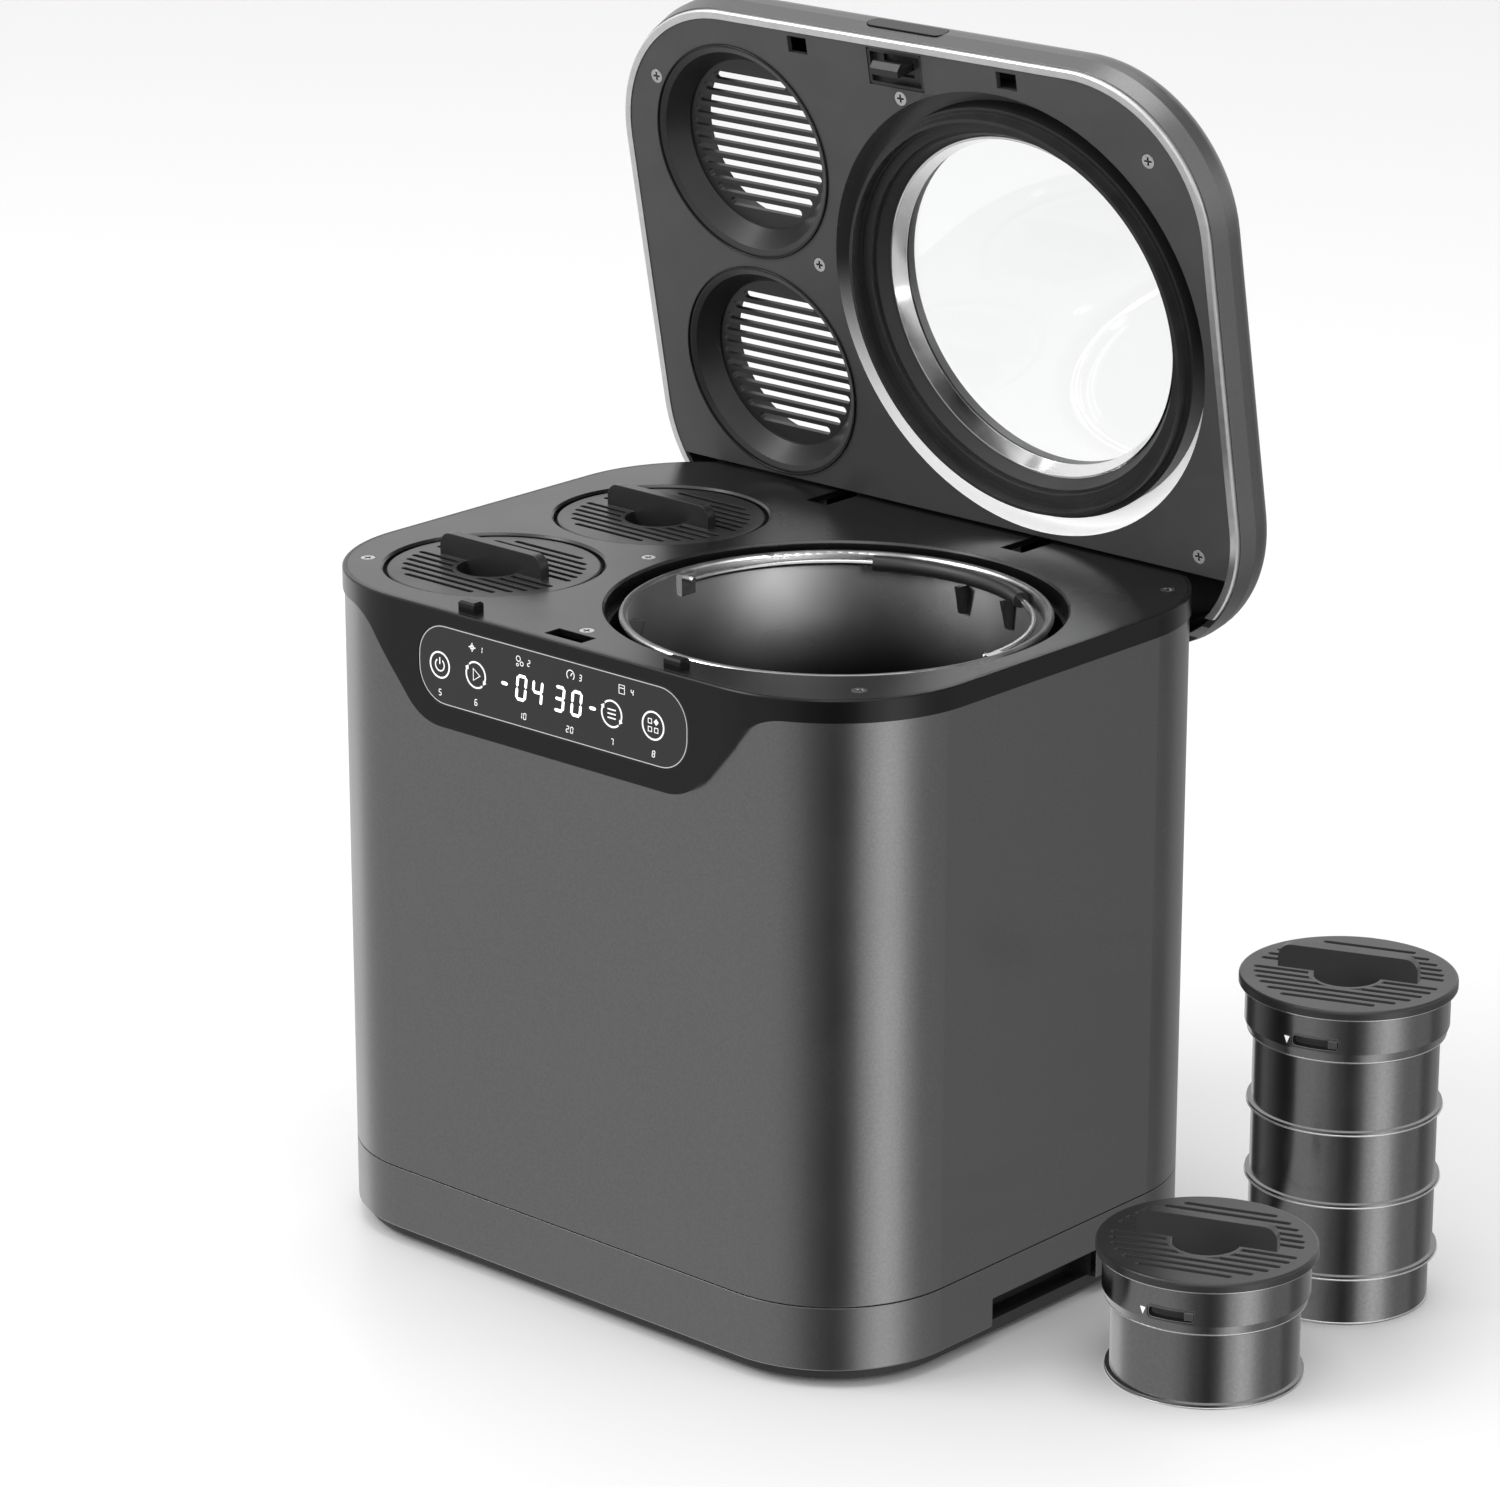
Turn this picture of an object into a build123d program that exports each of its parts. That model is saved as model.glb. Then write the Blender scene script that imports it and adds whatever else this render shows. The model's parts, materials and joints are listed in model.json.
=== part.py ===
"""Electric food waste composter with a hinged lid, lift-out bucket, stirring drive and filter canisters.

Millimetres, +Z up. The origin is the middle of the machine's footprint on the bench, with +X to the
right of someone facing the display and +Y to the back. The lid stands open. Lid pieces are drawn as
they lie when the lid is shut and are then turned about the hinge axis.
"""
import os
from math import acos, atan2, cos, degrees, pi, radians, sin, tan

from build123d import *

os.makedirs("parts", exist_ok=True)

# ---------------------------------------------------------------- driving dimensions

# casing
DECK_W = 340.0
DECK_D = 272.8
DECK_R = 71.5
DECK_TOP = 310.0
DECK_T = 3.0
BAND_H = 10.0
BAND_WALL = 2.0
LEDGE_W = 6.0
OVERHANG = 3.4
BODY_R = 62.0
BODY_WALL = 1.5
SEAM_Z = 38.0
SEAM_GAP = 0.6
COLLAR_H = 6.0
SKIRT_Z = 8.0
SKIRT_WALL = 3.0
FOOT_H = 2.5
FOOT_R = 11.0
FOOT_X = 120.0
FOOT_Y = 90.0
TRAY_INSET = 5.0
TRAY_FLOOR = 3.5
TRAY_WALL = 3.0
GRIP_W = 72.0
GRIP_H = 13.5
GRIP_DEPTH = 12.0
INTAKE_COUNT = 7
INTAKE_PITCH = 9.0
INTAKE_L = 44.0
INTAKE_W = 4.0
REAR_VENT_COUNT = 8
REAR_VENT_PITCH = 12.0
REAR_VENT_X = 22.0
REAR_VENT_W = 4.0
REAR_VENT_Z = 60.0
REAR_VENT_H = 36.0
EDGE_BREAK = 0.6
CUT_PAST = 5.0
FIT = 0.15
EASY_FIT = 0.4
RUN_FIT = 0.05

# display apron on the front
APRON_Z = 256.5
APRON_HALF_BOTTOM = 79.0
APRON_HALF_TOP = 116.5
APRON_BEND = 26.0
PANEL_W = 160.0
PANEL_H = 36.5
PANEL_Z = 285.0
PANEL_R = 16.0
PANEL_T = 1.0
PANEL_RECESS = 0.2
DISPLAY_W = 58.0
DISPLAY_H = 17.0
DISPLAY_T = 7.0
DISPLAY_BOARD_W = 144.0
DISPLAY_BOARD_H = 26.5
BOARD_T = 1.6

# bucket and its chamber
BUCKET_X = 57.0
BUCKET_Y = -16.5
BUCKET_HOLE_R = 100.7
BUCKET_R = 91.0
BUCKET_FOOT_R = 86.0
BUCKET_WALL = 1.2
BUCKET_FOOT_H = 9.0
BUCKET_FOOT_RING_R = 68.0
BUCKET_FOOT_RING_T = 2.0
BUCKET_BEND = 12.0
HUB_H = 18.0
HUB_DROP = 3.0
BUCKET_DROP = 2.0
BEAD_R = 1.6
CHAMBER_R = 99.0
CHAMBER_WALL = 1.5
CHAMBER_FLOOR_Z = 125.0
CHAMBER_FLOOR_T = 3.0
CHAMBER_FLANGE_W = 7.0
MOUTH_CHAMFER = 1.0
BAIL_R = 85.5
BAIL_WIRE_R = 1.5
BAIL_GRIP_R = 3.6
BAIL_GRIP_HALF = 30.0
BAIL_DROP = 5.0
EAR_W = 9.0
EAR_T = 3.6
TOOTH_ANGLES = (72, 92, 212, 232)
TOOTH_H = 13.0
TOOTH_OUT = 6.0
TOOTH_T = 3.0
ROTOR_SHAFT_R = 8.0
ROTOR_HUB_R = 13.0
ROTOR_TOP_Z = 196.0
ROTOR_REACH = 81.0
ROTOR_BLADE_T = 4.0
ROTOR_BLADE_ANGLE = 35.0
ROTOR_LEVELS = 3
ROTOR_STEP_IN = 0.13
ROTOR_CROWN = 5.0
ROTOR_LEG_R = 67.0
ROTOR_LEG_W = 12.0
ROTOR_FLOOR_GAP = 3.0
TONGUE_W = 5.0
TONGUE_L = 12.0
TONGUE_H = 7.0

# drive under the chamber
GEAR_FACE = 8.0
INPUT_GEAR_FACE = 6.0
OUTPUT_MODULE = 1.5
OUTPUT_TEETH = 54
INPUT_MODULE = 1.0
INPUT_TEETH = 60
PINION_TEETH = 15
BACKLASH = 0.22
PRESSURE_ANGLE = 20.0
AXLE_R = 4.0
MOTOR_R = 30.0
MOTOR_EDGE = 1.5
MOTOR_SHAFT_R = 3.0
MOTOR_BACK = 8.0
GEARBOX_Z = 84.0
GEARBOX_H = 25.0
GEARBOX_WALL = 3.0
GEARBOX_CORNER = 12.0
GEAR_CLEAR = 3.0
BEARING_R = 14.0
BEARING_H = 7.0
MOTOR_H = 42.0
POST_CIRCLE_R = 40.0
POST_R = 5.0
HEATER_IN_R = 50.0
HEATER_OUT_R = 84.0
HEATER_T = 3.0

# filter canisters: cap, three cans and a cup, hanging in wells
FILTER_X = -97.9
FRONT_FILTER_Y = -70.9
REAR_FILTER_Y = 37.8
FILTER_HOLE_R = 49.5
CAP_R = 48.0
CAP_RIM_H = 4.0
CAP_SKIRT_R = 45.0
CAP_SKIRT_H = 22.0
CAP_WALL = 2.0
CAP_DROP = 1.0
CAP_SLOT_W = 3.0
CAP_SLOT_PITCH = 5.8
CAP_SLOT_R = 42.0
CAP_TURN = 20.0
CAP_LIP = 1.2
TAB_L = 63.0
TAB_H = 10.7
TAB_T = 5.0
TAB_CORNER = 6.0
POCKET_R = 15.0
POCKET_H = 7.0
BAYONET_ANGLE = -83.0
BAYONET_H = 4.5
BAYONET_CORNER = 1.5
BAYONET_RISE = 8.8
LUG_W = 4.0
LUG_H = 3.3
LUG_INSET = 0.5
SKIRT_TAPER = 1.6
SKIRT_TAPER_H = 5.0
NECK_GAP = 1.0
CAN_R = 41.0
CAN_H = 34.0
CAN_WALL = 1.0
CAN_COUNT = 3
CAN_BEAD = 2.0
CUP_R = 39.5
CUP_H = 22.6
CUP_EDGE = 0.8
WELL_WALL = 1.5
WELL_STEP = 4.0
RIM_SEAT_T = 1.6
TALL_X = 243.0
TALL_Y = 113.0
SHORT_X = 250.0
SHORT_Y = 7.0
SPARE_TURN = 21.0

# blower and ducts
BLOWER_Y = -16.5
BLOWER_R = 46.0
BLOWER_H = 40.0
BLOWER_WALL = 2.0
BLOWER_LEG_X = 28.5
BLOWER_LEG_Y = 28.5
FAN_MOTOR_R = 20.0
FAN_MOTOR_H = 22.0
FAN_SHAFT_R = 2.5
IMPELLER_R = 37.0
IMPELLER_H = 24.0
IMPELLER_BLADES = 14
BLOWER_PORT_R = 20.0
FAN_BLADE_T = 1.5
FAN_BLADE_ANGLE = 35.0
PLENUM_H = 45.0
PLENUM_W = 96.0
PLENUM_CORNER = 20.0
DUCT_W = 36.0
DUCT_D = 24.0
DUCT_WALL = 1.6
DUCT_Y = 114.0
DUCT_TOP_Z = 282.0
DUCT_DOOR_H = 24.0

# mains inlet and boards
INLET_X = -112.0
INLET_Z = 54.0
INLET_W = 28.0
INLET_H = 20.0
INLET_DEPTH = 22.0
INLET_LIP = 2.0
INLET_WALL = 3.0
INLET_BACK = 4.0
INLET_PIN_GAP = 7.0
INLET_PIN_HALF_T = 1.0
INLET_PIN_HALF_H = 2.0
INLET_PIN_INSET = 2.0
POWER_BOARD_AT = (72.0, -74.0)
POWER_BOARD_W = 100.0
POWER_BOARD_D = 62.0
CONTROL_BOARD_X = 8.0
CONTROL_BOARD_Z = 225.0
CONTROL_BOARD_W = 108.0
CONTROL_BOARD_H = 60.0
STANDOFF = 8.0
STANDOFF_R = 3.0
POST_INSET = 6.0
TRANSFORMER_W = 30.0
TRANSFORMER_D = 26.0
TRANSFORMER_H = 24.0
CAPACITOR_R = 5.0
CAPACITOR_H = 18.0

# lid
LID_W = 343.0
LID_D = 275.0
LID_R = 70.5
LID_SHIFT_Y = -1.5
LID_GAP = 2.0
LID_H = 25.0
LID_BULGE = 2.0
LID_BULGE_RISE = 10.5
LID_WALL = 3.0
LID_EDGE_R = 10.0
LID_TOP_T = 2.5
TRIM_W = 3.8
TRIM_H = 2.2
TRIM_INSET = 0.6
TRIM_BREAK = 0.7
TRIM_END_REACH = 5.5
PANEL_SINK = 0.4
LID_PANEL_T = 2.6
LID_PANEL_REAR_Y = 91.0
PANEL_FLANGE_T = 2.0
PANEL_FLANGE_SIDE = 9.0
PANEL_FLANGE_GAP = 2.0
LID_REAR_RISE = 6.0
REAR_CUT_START = 6.0
REAR_CUT_RUN = 14.0
LID_OPEN = 79.3
HINGE_Y = 106.3
HINGE_Z = 292.3
PIN_R = 3.0
ARM_X = 58.5
ARM_T = 10.0
ARM_W = 8.6
ARM_SLOT_FIT = 1.5
CHEEK_T = 3.0
CHEEK_HALF_W = 9.0
ARM_PAD_T = 3.5
ARM_PAD_REACH = 6.0
WINDOW_R = 104.9
GROOVE_WALL = 2.0
GROOVE_FLOOR_T = 2.0
RING_R = 97.0
RING_FACE_W = 11.0
RING_FACE_RISE = 2.3
RING_FACE_T = 2.5
RING_LIP_W = 1.5
GLASS_SEE_R = 77.0
GLASS_R = 86.0
GLASS_T = 3.5
GLASS_SEAT_W = 2.0
GLASS_FRAME_W = 1.0
BEZEL_LIP_R = 80.0
BEZEL_RISE = 9.8
BEZEL_DEPTH = 4.3
BEZEL_RING_T = 2.9
BEZEL_WALL = 1.2
SEAL_HALF_W = 2.5
SEAL_BASE_T = 1.2
SEAL_LIP_ROOT = 1.0
SEAL_LIP_TIP = 0.8
WELL_MOUTH_R = 51.6
GRILLE_R = 41.0
GRILLE_DEPTH = 11.5
GRILLE_T = 2.5
GRILLE_SLOT_W = 3.9
GRILLE_PITCH = 6.2
GRILLE_RIM_W = 1.5
SLEEVE_T = 1.8
SLEEVE_FLANGE_T = 1.0
SLEEVE_NECK_W = 4.0

# latch and locating pegs
LATCH_X = 2.3
LATCH_Y = -126.0
LATCH_SLOT_W = 22.0
LATCH_SLOT_D = 9.5
LATCH_PLATE_W = 31.6
LATCH_PLATE_D = 17.0
LATCH_PLATE_Y = -124.8
LATCH_PLATE_R = 2.0
HOOK_WAY = 1.0
HOOK_W = 16.0
HOOK_T = 3.0
HOOK_TOE = 2.5
TOE_RISE = 2.5
TOE_EDGE = 1.3
HOOK_REACH = 7.5
LATCH_TRAVEL = 2.5
PLATE_RECESS = 3.0
PLATE_T = 1.5
CARRIAGE_T = 2.0
CARRIAGE_REACH = 4.0
CARRIAGE_SIDE = 3.0
RISER_T = 2.5
BUTTON_W = 44.0
BUTTON_H = 8.5
BUTTON_T = 3.0
BUTTON_GAP = 0.35
BUTTON_RISE = 1.5
PEG_XS = (-55.0, 66.5)
PEG_Y = -128.5
PEG_W = 9.5
PEG_D = 6.0
PEG_H = 4.5
PEG_SOCKET_FIT = 0.9

# screws
SCREW_R = 3.3
SCREW_SHANK_R = 1.5
SCREW_L = 9.0
SCREW_HEAD_H = 1.1
DECK_SCREWS = ((2.2, -115.8), (143.9, -101.0), (-54.4, -17.0), (148.5, 99.0), (-147.0, -101.5))
LID_SCREWS = ((3.5, -111.5), (141.5, -103.0), (-58.5, -22.0), (148.0, 82.0), (-146.0, -101.0))

# ---------------------------------------------------------------- sizes that follow

BODY_W = DECK_W - 2 * OVERHANG
BODY_D = DECK_D - 2 * OVERHANG
BODY_TOP = DECK_TOP - BAND_H
BODY_INNER_FRONT = -BODY_D / 2 + BODY_WALL
BODY_INNER_REAR = BODY_D / 2 - BODY_WALL
PLATE_Z = DECK_TOP - DECK_T
PLATE_INSET = BAND_WALL + FIT
LEDGE_INSET = BAND_WALL + LEDGE_W
TRAY_TOP = SKIRT_Z + TRAY_WALL
TRAY_FLOOR_TOP = FOOT_H + TRAY_FLOOR
FRONT_FACE = -DECK_D / 2
PANEL_BACK = PANEL_RECESS + PANEL_T

BUCKET_AT = (BUCKET_X, BUCKET_Y)
FILTER_SPOTS = {"front": (FILTER_X, FRONT_FILTER_Y), "rear": (FILTER_X, REAR_FILTER_Y)}
BUCKET_TOP = DECK_TOP - BUCKET_DROP
BUCKET_FLOOR = CHAMBER_FLOOR_Z + BUCKET_FOOT_H
BAIL_Z = BUCKET_TOP - BAIL_DROP + BAIL_WIRE_R
CHAMBER_FLANGE_R = CHAMBER_R + CHAMBER_FLANGE_W

LID_BOTTOM = DECK_TOP + LID_GAP
LID_TOP = LID_BOTTOM + LID_H
LID_PANEL_Z = LID_BOTTOM + PANEL_SINK
LID_SKIN_Z = LID_TOP - LID_TOP_T
LID_FRONT = LID_SHIFT_Y - LID_D / 2
LID_REAR = LID_SHIFT_Y + LID_D / 2
GRILLE_Z = LID_BOTTOM + GRILLE_DEPTH
HINGE_AXIS = Axis((0, HINGE_Y, HINGE_Z), (1, 0, 0))
ARM_HALF = ARM_T / 2
SLOT_HALF = ARM_HALF + ARM_SLOT_FIT
SLOT_FRONT_Y = HINGE_Y - ARM_W / 2 - ARM_SLOT_FIT
REAR_SLOT_Z = HINGE_Z - ARM_W / 2 - 2 * ARM_SLOT_FIT

CAP_PLATE_Z = CUP_H + CAN_COUNT * CAN_H + CAP_SKIRT_H
CANISTER_TOP = CAP_PLATE_Z + CAP_RIM_H
CANISTER_FOOT = DECK_TOP - CAP_DROP - CANISTER_TOP
WELL_R = CAP_SKIRT_R + 1.4
WELL_FOOT = CANISTER_FOOT - 10.0
PLENUM_TOP = WELL_FOOT
PLENUM_Z = PLENUM_TOP - PLENUM_H
BLOWER_AT = (FILTER_X, BLOWER_Y)
BLOWER_Z = PLENUM_Z - BLOWER_H
DUCT_BASE_Z = BLOWER_Z + BLOWER_WALL + 4.0

IDLER_GAP = OUTPUT_MODULE * (OUTPUT_TEETH + PINION_TEETH) / 2
MOTOR_GAP = INPUT_MODULE * (INPUT_TEETH + PINION_TEETH) / 2
IDLER_AT = (BUCKET_X - IDLER_GAP, BUCKET_Y)
MOTOR_AT = (IDLER_AT[0], IDLER_AT[1] + MOTOR_GAP)
GEARBOX_FLOOR_TOP = GEARBOX_Z + GEARBOX_WALL
GEARBOX_TOP = GEARBOX_Z + GEARBOX_H
COVER_TOP = GEARBOX_TOP + GEARBOX_WALL
INPUT_GEAR_Z = GEARBOX_FLOOR_TOP + 2.0
OUTPUT_GEAR_Z = GEARBOX_TOP - GEAR_FACE - 5.0
MOTOR_BORE_Z = GEARBOX_Z - MOTOR_H + MOTOR_BACK


# ---------------------------------------------------------------- drawing helpers

def save(piece, name):
    """Label a finished piece and write its STEP file."""
    piece.label = name
    export_step(piece, f"parts/{name}.step")


def opened(piece):
    """Turn a lid piece from its shut place to the open lid's place."""
    return piece.rotate(HINGE_AXIS, -LID_OPEN)


def slab(width, depth, corner, low, high, at=(0, 0), mode=Mode.ADD, taper=0):
    """A plate or block with rounded upright corners between two heights."""
    with BuildSketch(Plane.XY.offset(low)) as outline:
        with Locations(at):
            RectangleRounded(width, depth, corner)
    extrude(outline.sketch, amount=high - low, taper=taper, mode=mode)


def inset_slab(plan, inset, low, high, mode=Mode.ADD, at=(0, 0)):
    """A slab whose outline lies a given distance inside a (width, depth, corner) plan."""
    width, depth, corner = plan
    slab(width - 2 * inset, depth - 2 * inset, corner - inset, low, high, at, mode)


def disc(at, radius, low, high, mode=Mode.ADD):
    """An upright cylinder between two heights."""
    with BuildSketch(Plane.XY.offset(low)) as outline:
        with Locations(at):
            Circle(radius)
    extrude(outline.sketch, amount=high - low, mode=mode)


def tube(at, outer, inner, low, high):
    """An upright ring between two heights."""
    with BuildSketch(Plane.XY.offset(low)) as outline:
        with Locations(at):
            Circle(outer)
            Circle(inner, mode=Mode.SUBTRACT)
    extrude(outline.sketch, amount=high - low)


def block(x_span, y_span, z_span, mode=Mode.ADD):
    """A box given by its spans along X, Y and Z."""
    centre = tuple((span[0] + span[1]) / 2 for span in (x_span, y_span, z_span))
    sizes = [span[1] - span[0] for span in (x_span, y_span, z_span)]
    with Locations(centre):
        Box(*sizes, mode=mode)


def around(middle, half):
    """The span that reaches the same distance to both sides of a middle."""
    return (middle - half, middle + half)


def lathe(at, points, mode=Mode.ADD):
    """A turned ring or cup: (radius, height) points revolved about an upright axis."""
    with BuildSketch(Plane(origin=(at[0], at[1], 0), x_dir=(1, 0, 0), z_dir=(0, -1, 0))) as outline:
        Polygon(*points, align=None)
    revolve(outline.sketch, axis=Axis((at[0], at[1], 0), (0, 0, 1)), mode=mode)


def side_prism(points, x_low, x_high, mode=Mode.ADD):
    """An outline of (y, z) points drawn out along X."""
    with BuildSketch(Plane(origin=(x_low, 0, 0), x_dir=(0, 1, 0), z_dir=(1, 0, 0))) as outline:
        Polygon(*points, align=None)
    extrude(outline.sketch, amount=x_high - x_low, mode=mode)


def slots(at, reach, width, pitch, low, high, skip=0.0):
    """Cut parallel slots along X inside a circle, leaving out the rows nearer the middle than skip."""
    rows = int(reach / pitch)
    for row in range(-rows, rows + 1):
        offset_y = row * pitch
        if abs(offset_y) < skip or abs(offset_y) + width / 2 >= reach:
            continue
        half = (reach**2 - (abs(offset_y) + width / 2) ** 2) ** 0.5
        if half < 2 * width:
            continue
        with BuildSketch(Plane.XY.offset(low)) as outline:
            with Locations((at[0], at[1] + offset_y)):
                SlotOverall(2 * half, width)
        extrude(outline.sketch, amount=high - low, mode=Mode.SUBTRACT)


def screws(spots, head_top, direction):
    """Countersunk cross-head screws; direction is +1 for heads that face up and -1 for down."""
    head_base = head_top - direction * SCREW_HEAD_H
    tip = head_top - direction * SCREW_L
    for spot in spots:
        disc(spot, SCREW_R, min(head_top, head_base), max(head_top, head_base))
        disc(spot, SCREW_SHANK_R, min(head_base, tip), max(head_base, tip))
        slot_base = head_top - direction * SCREW_HEAD_H / 2
        for long_x in (True, False):
            half_x, half_y = (SCREW_R * 0.6, SCREW_R * 0.15) if long_x else (SCREW_R * 0.15, SCREW_R * 0.6)
            block(
                around(spot[0], half_x),
                around(spot[1], half_y),
                (min(head_top, slot_base), max(head_top, slot_base)),
                mode=Mode.SUBTRACT,
            )


def screw_holes(spots, face, direction, depth):
    """Clearance holes and head seats for the screws."""
    seat = face - direction * (SCREW_HEAD_H + FIT)
    for spot in spots:
        disc(spot, SCREW_R + FIT, min(face, seat), max(face, seat), mode=Mode.SUBTRACT)
        through = face - direction * depth
        disc(spot, SCREW_SHANK_R + FIT, min(face, through), max(face, through), mode=Mode.SUBTRACT)


def gear(at, module, teeth, low, high, bore, first_tooth):
    """An involute spur gear with stub teeth; first_tooth is the direction of one tooth in degrees."""
    pitch_r = module * teeth / 2
    base_r = pitch_r * cos(radians(PRESSURE_ANGLE))
    tip_r = pitch_r + 0.8 * module
    root_r = pitch_r - 1.1 * module
    start_r = max(base_r, root_r)
    involute = tan(radians(PRESSURE_ANGLE)) - radians(PRESSURE_ANGLE)
    half_tooth = pi / (2 * teeth) - BACKLASH / (4 * pitch_r) + involute
    flank = []
    for step in range(5):
        radius = start_r + (tip_r - start_r) * step / 4
        roll = acos(min(1.0, base_r / radius))
        angle = half_tooth - (tan(roll) - roll)
        flank.append((radius * cos(angle), radius * sin(angle)))
    foot = ((root_r - 0.3 * module) * cos(half_tooth), (root_r - 0.3 * module) * sin(half_tooth))
    outline = [foot, *flank]
    outline += [(x, -y) for x, y in reversed(outline)]
    with BuildSketch(Plane.XY.offset(low)) as face:
        with Locations(at):
            Circle(root_r)
            with PolarLocations(0, teeth, start_angle=first_tooth):
                Polygon(*outline, align=None)
            Circle(bore, mode=Mode.SUBTRACT)
    extrude(face.sketch, amount=high - low)


BODY_PLAN = (BODY_W, BODY_D, BODY_R)
DECK_PLAN = (DECK_W, DECK_D, DECK_R)
LID_PLAN = (LID_W, LID_D, LID_R)
LID_CENTRE = (0, LID_SHIFT_Y)

# ---------------------------------------------------------------- casing

with BuildPart() as base_tray:
    inset_slab(BODY_PLAN, TRAY_INSET, FOOT_H, SKIRT_Z)
    inset_slab(BODY_PLAN, TRAY_INSET + TRAY_WALL, TRAY_FLOOR_TOP, SKIRT_Z, mode=Mode.SUBTRACT)
    inset_slab(BODY_PLAN, SKIRT_WALL + FIT, SKIRT_Z, TRAY_TOP)
    inset_slab(BODY_PLAN, TRAY_INSET + TRAY_WALL, SKIRT_Z, TRAY_TOP, mode=Mode.SUBTRACT)
    outer_x = BODY_W / 2 - SKIRT_WALL - FIT
    roof_z = SKIRT_Z + GRIP_H
    for side in (-1, 1):
        pocket_x = around(side * (outer_x - (GRIP_DEPTH + TRAY_WALL) / 2), (GRIP_DEPTH + TRAY_WALL) / 2)
        hollow_half = (GRIP_DEPTH + SKIRT_WALL) / 2
        hollow_x = around(side * (outer_x - GRIP_DEPTH + hollow_half), hollow_half)
        block(pocket_x, around(0, GRIP_W / 2 + TRAY_WALL), (SKIRT_Z, roof_z + TRAY_WALL))
        block(hollow_x, around(0, GRIP_W / 2), (SKIRT_Z, roof_z), mode=Mode.SUBTRACT)
    for step in range(INTAKE_COUNT):
        intake_y = BLOWER_Y + (step - (INTAKE_COUNT - 1) / 2) * INTAKE_PITCH
        intake_x = around(FILTER_X, INTAKE_L / 2)
        block(intake_x, around(intake_y, INTAKE_W / 2), (FOOT_H, TRAY_FLOOR_TOP), mode=Mode.SUBTRACT)
save(base_tray.part, "base_tray")

with BuildPart() as base_skirt:
    inset_slab(BODY_PLAN, 0, SKIRT_Z, SEAM_Z - SEAM_GAP)
    inset_slab(BODY_PLAN, BODY_WALL + FIT, SEAM_Z - SEAM_GAP, SEAM_Z + COLLAR_H)
    inset_slab(BODY_PLAN, SKIRT_WALL, SKIRT_Z, SEAM_Z - SEAM_GAP - COLLAR_H, mode=Mode.SUBTRACT)
    inset_slab(BODY_PLAN, SKIRT_WALL + BODY_WALL, SKIRT_Z, SEAM_Z + COLLAR_H, mode=Mode.SUBTRACT)
    grip_z = (SKIRT_Z, SKIRT_Z + GRIP_H)
    block(around(0, BODY_W / 2 + 1), around(0, GRIP_W / 2), grip_z, mode=Mode.SUBTRACT)
    chamfer(base_skirt.faces().sort_by(Axis.Z)[0].outer_wire().edges(), EDGE_BREAK)
save(base_skirt.part, "base_skirt")

with BuildPart() as feet:
    for foot_x in (-FOOT_X, FOOT_X):
        for foot_y in (-FOOT_Y, FOOT_Y):
            disc((foot_x, foot_y), FOOT_R, 0, FOOT_H)
    chamfer(feet.faces().filter_by(Axis.Z).group_by(Axis.Z)[0].edges(), EDGE_BREAK)
save(feet.part, "feet")

with BuildPart() as body_shell:
    inset_slab(BODY_PLAN, 0, SEAM_Z, BODY_TOP)
    inset_slab(BODY_PLAN, BODY_WALL, SEAM_Z, BODY_TOP, mode=Mode.SUBTRACT)
    window_x = around(0, DISPLAY_BOARD_W / 2 + 2)
    window_z = around(PANEL_Z, DISPLAY_BOARD_H / 2 + 2)
    block(window_x, (-BODY_D / 2, BODY_INNER_FRONT), window_z, mode=Mode.SUBTRACT)
    rear_wall_y = (BODY_INNER_REAR - BODY_WALL, BODY_D / 2)
    for arm_x in (-ARM_X, ARM_X):
        block(around(arm_x, SLOT_HALF), rear_wall_y, (REAR_SLOT_Z, BODY_TOP), mode=Mode.SUBTRACT)
    inlet_y = (BODY_D / 2 - INLET_DEPTH, BODY_D / 2)
    block(around(INLET_X, INLET_W / 2), inlet_y, around(INLET_Z, INLET_H / 2), mode=Mode.SUBTRACT)
    for step in range(REAR_VENT_COUNT):
        vent_x = around(REAR_VENT_X + step * REAR_VENT_PITCH, REAR_VENT_W / 2)
        block(vent_x, rear_wall_y, (REAR_VENT_Z, REAR_VENT_Z + REAR_VENT_H), mode=Mode.SUBTRACT)
save(body_shell.part, "body_shell")

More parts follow.
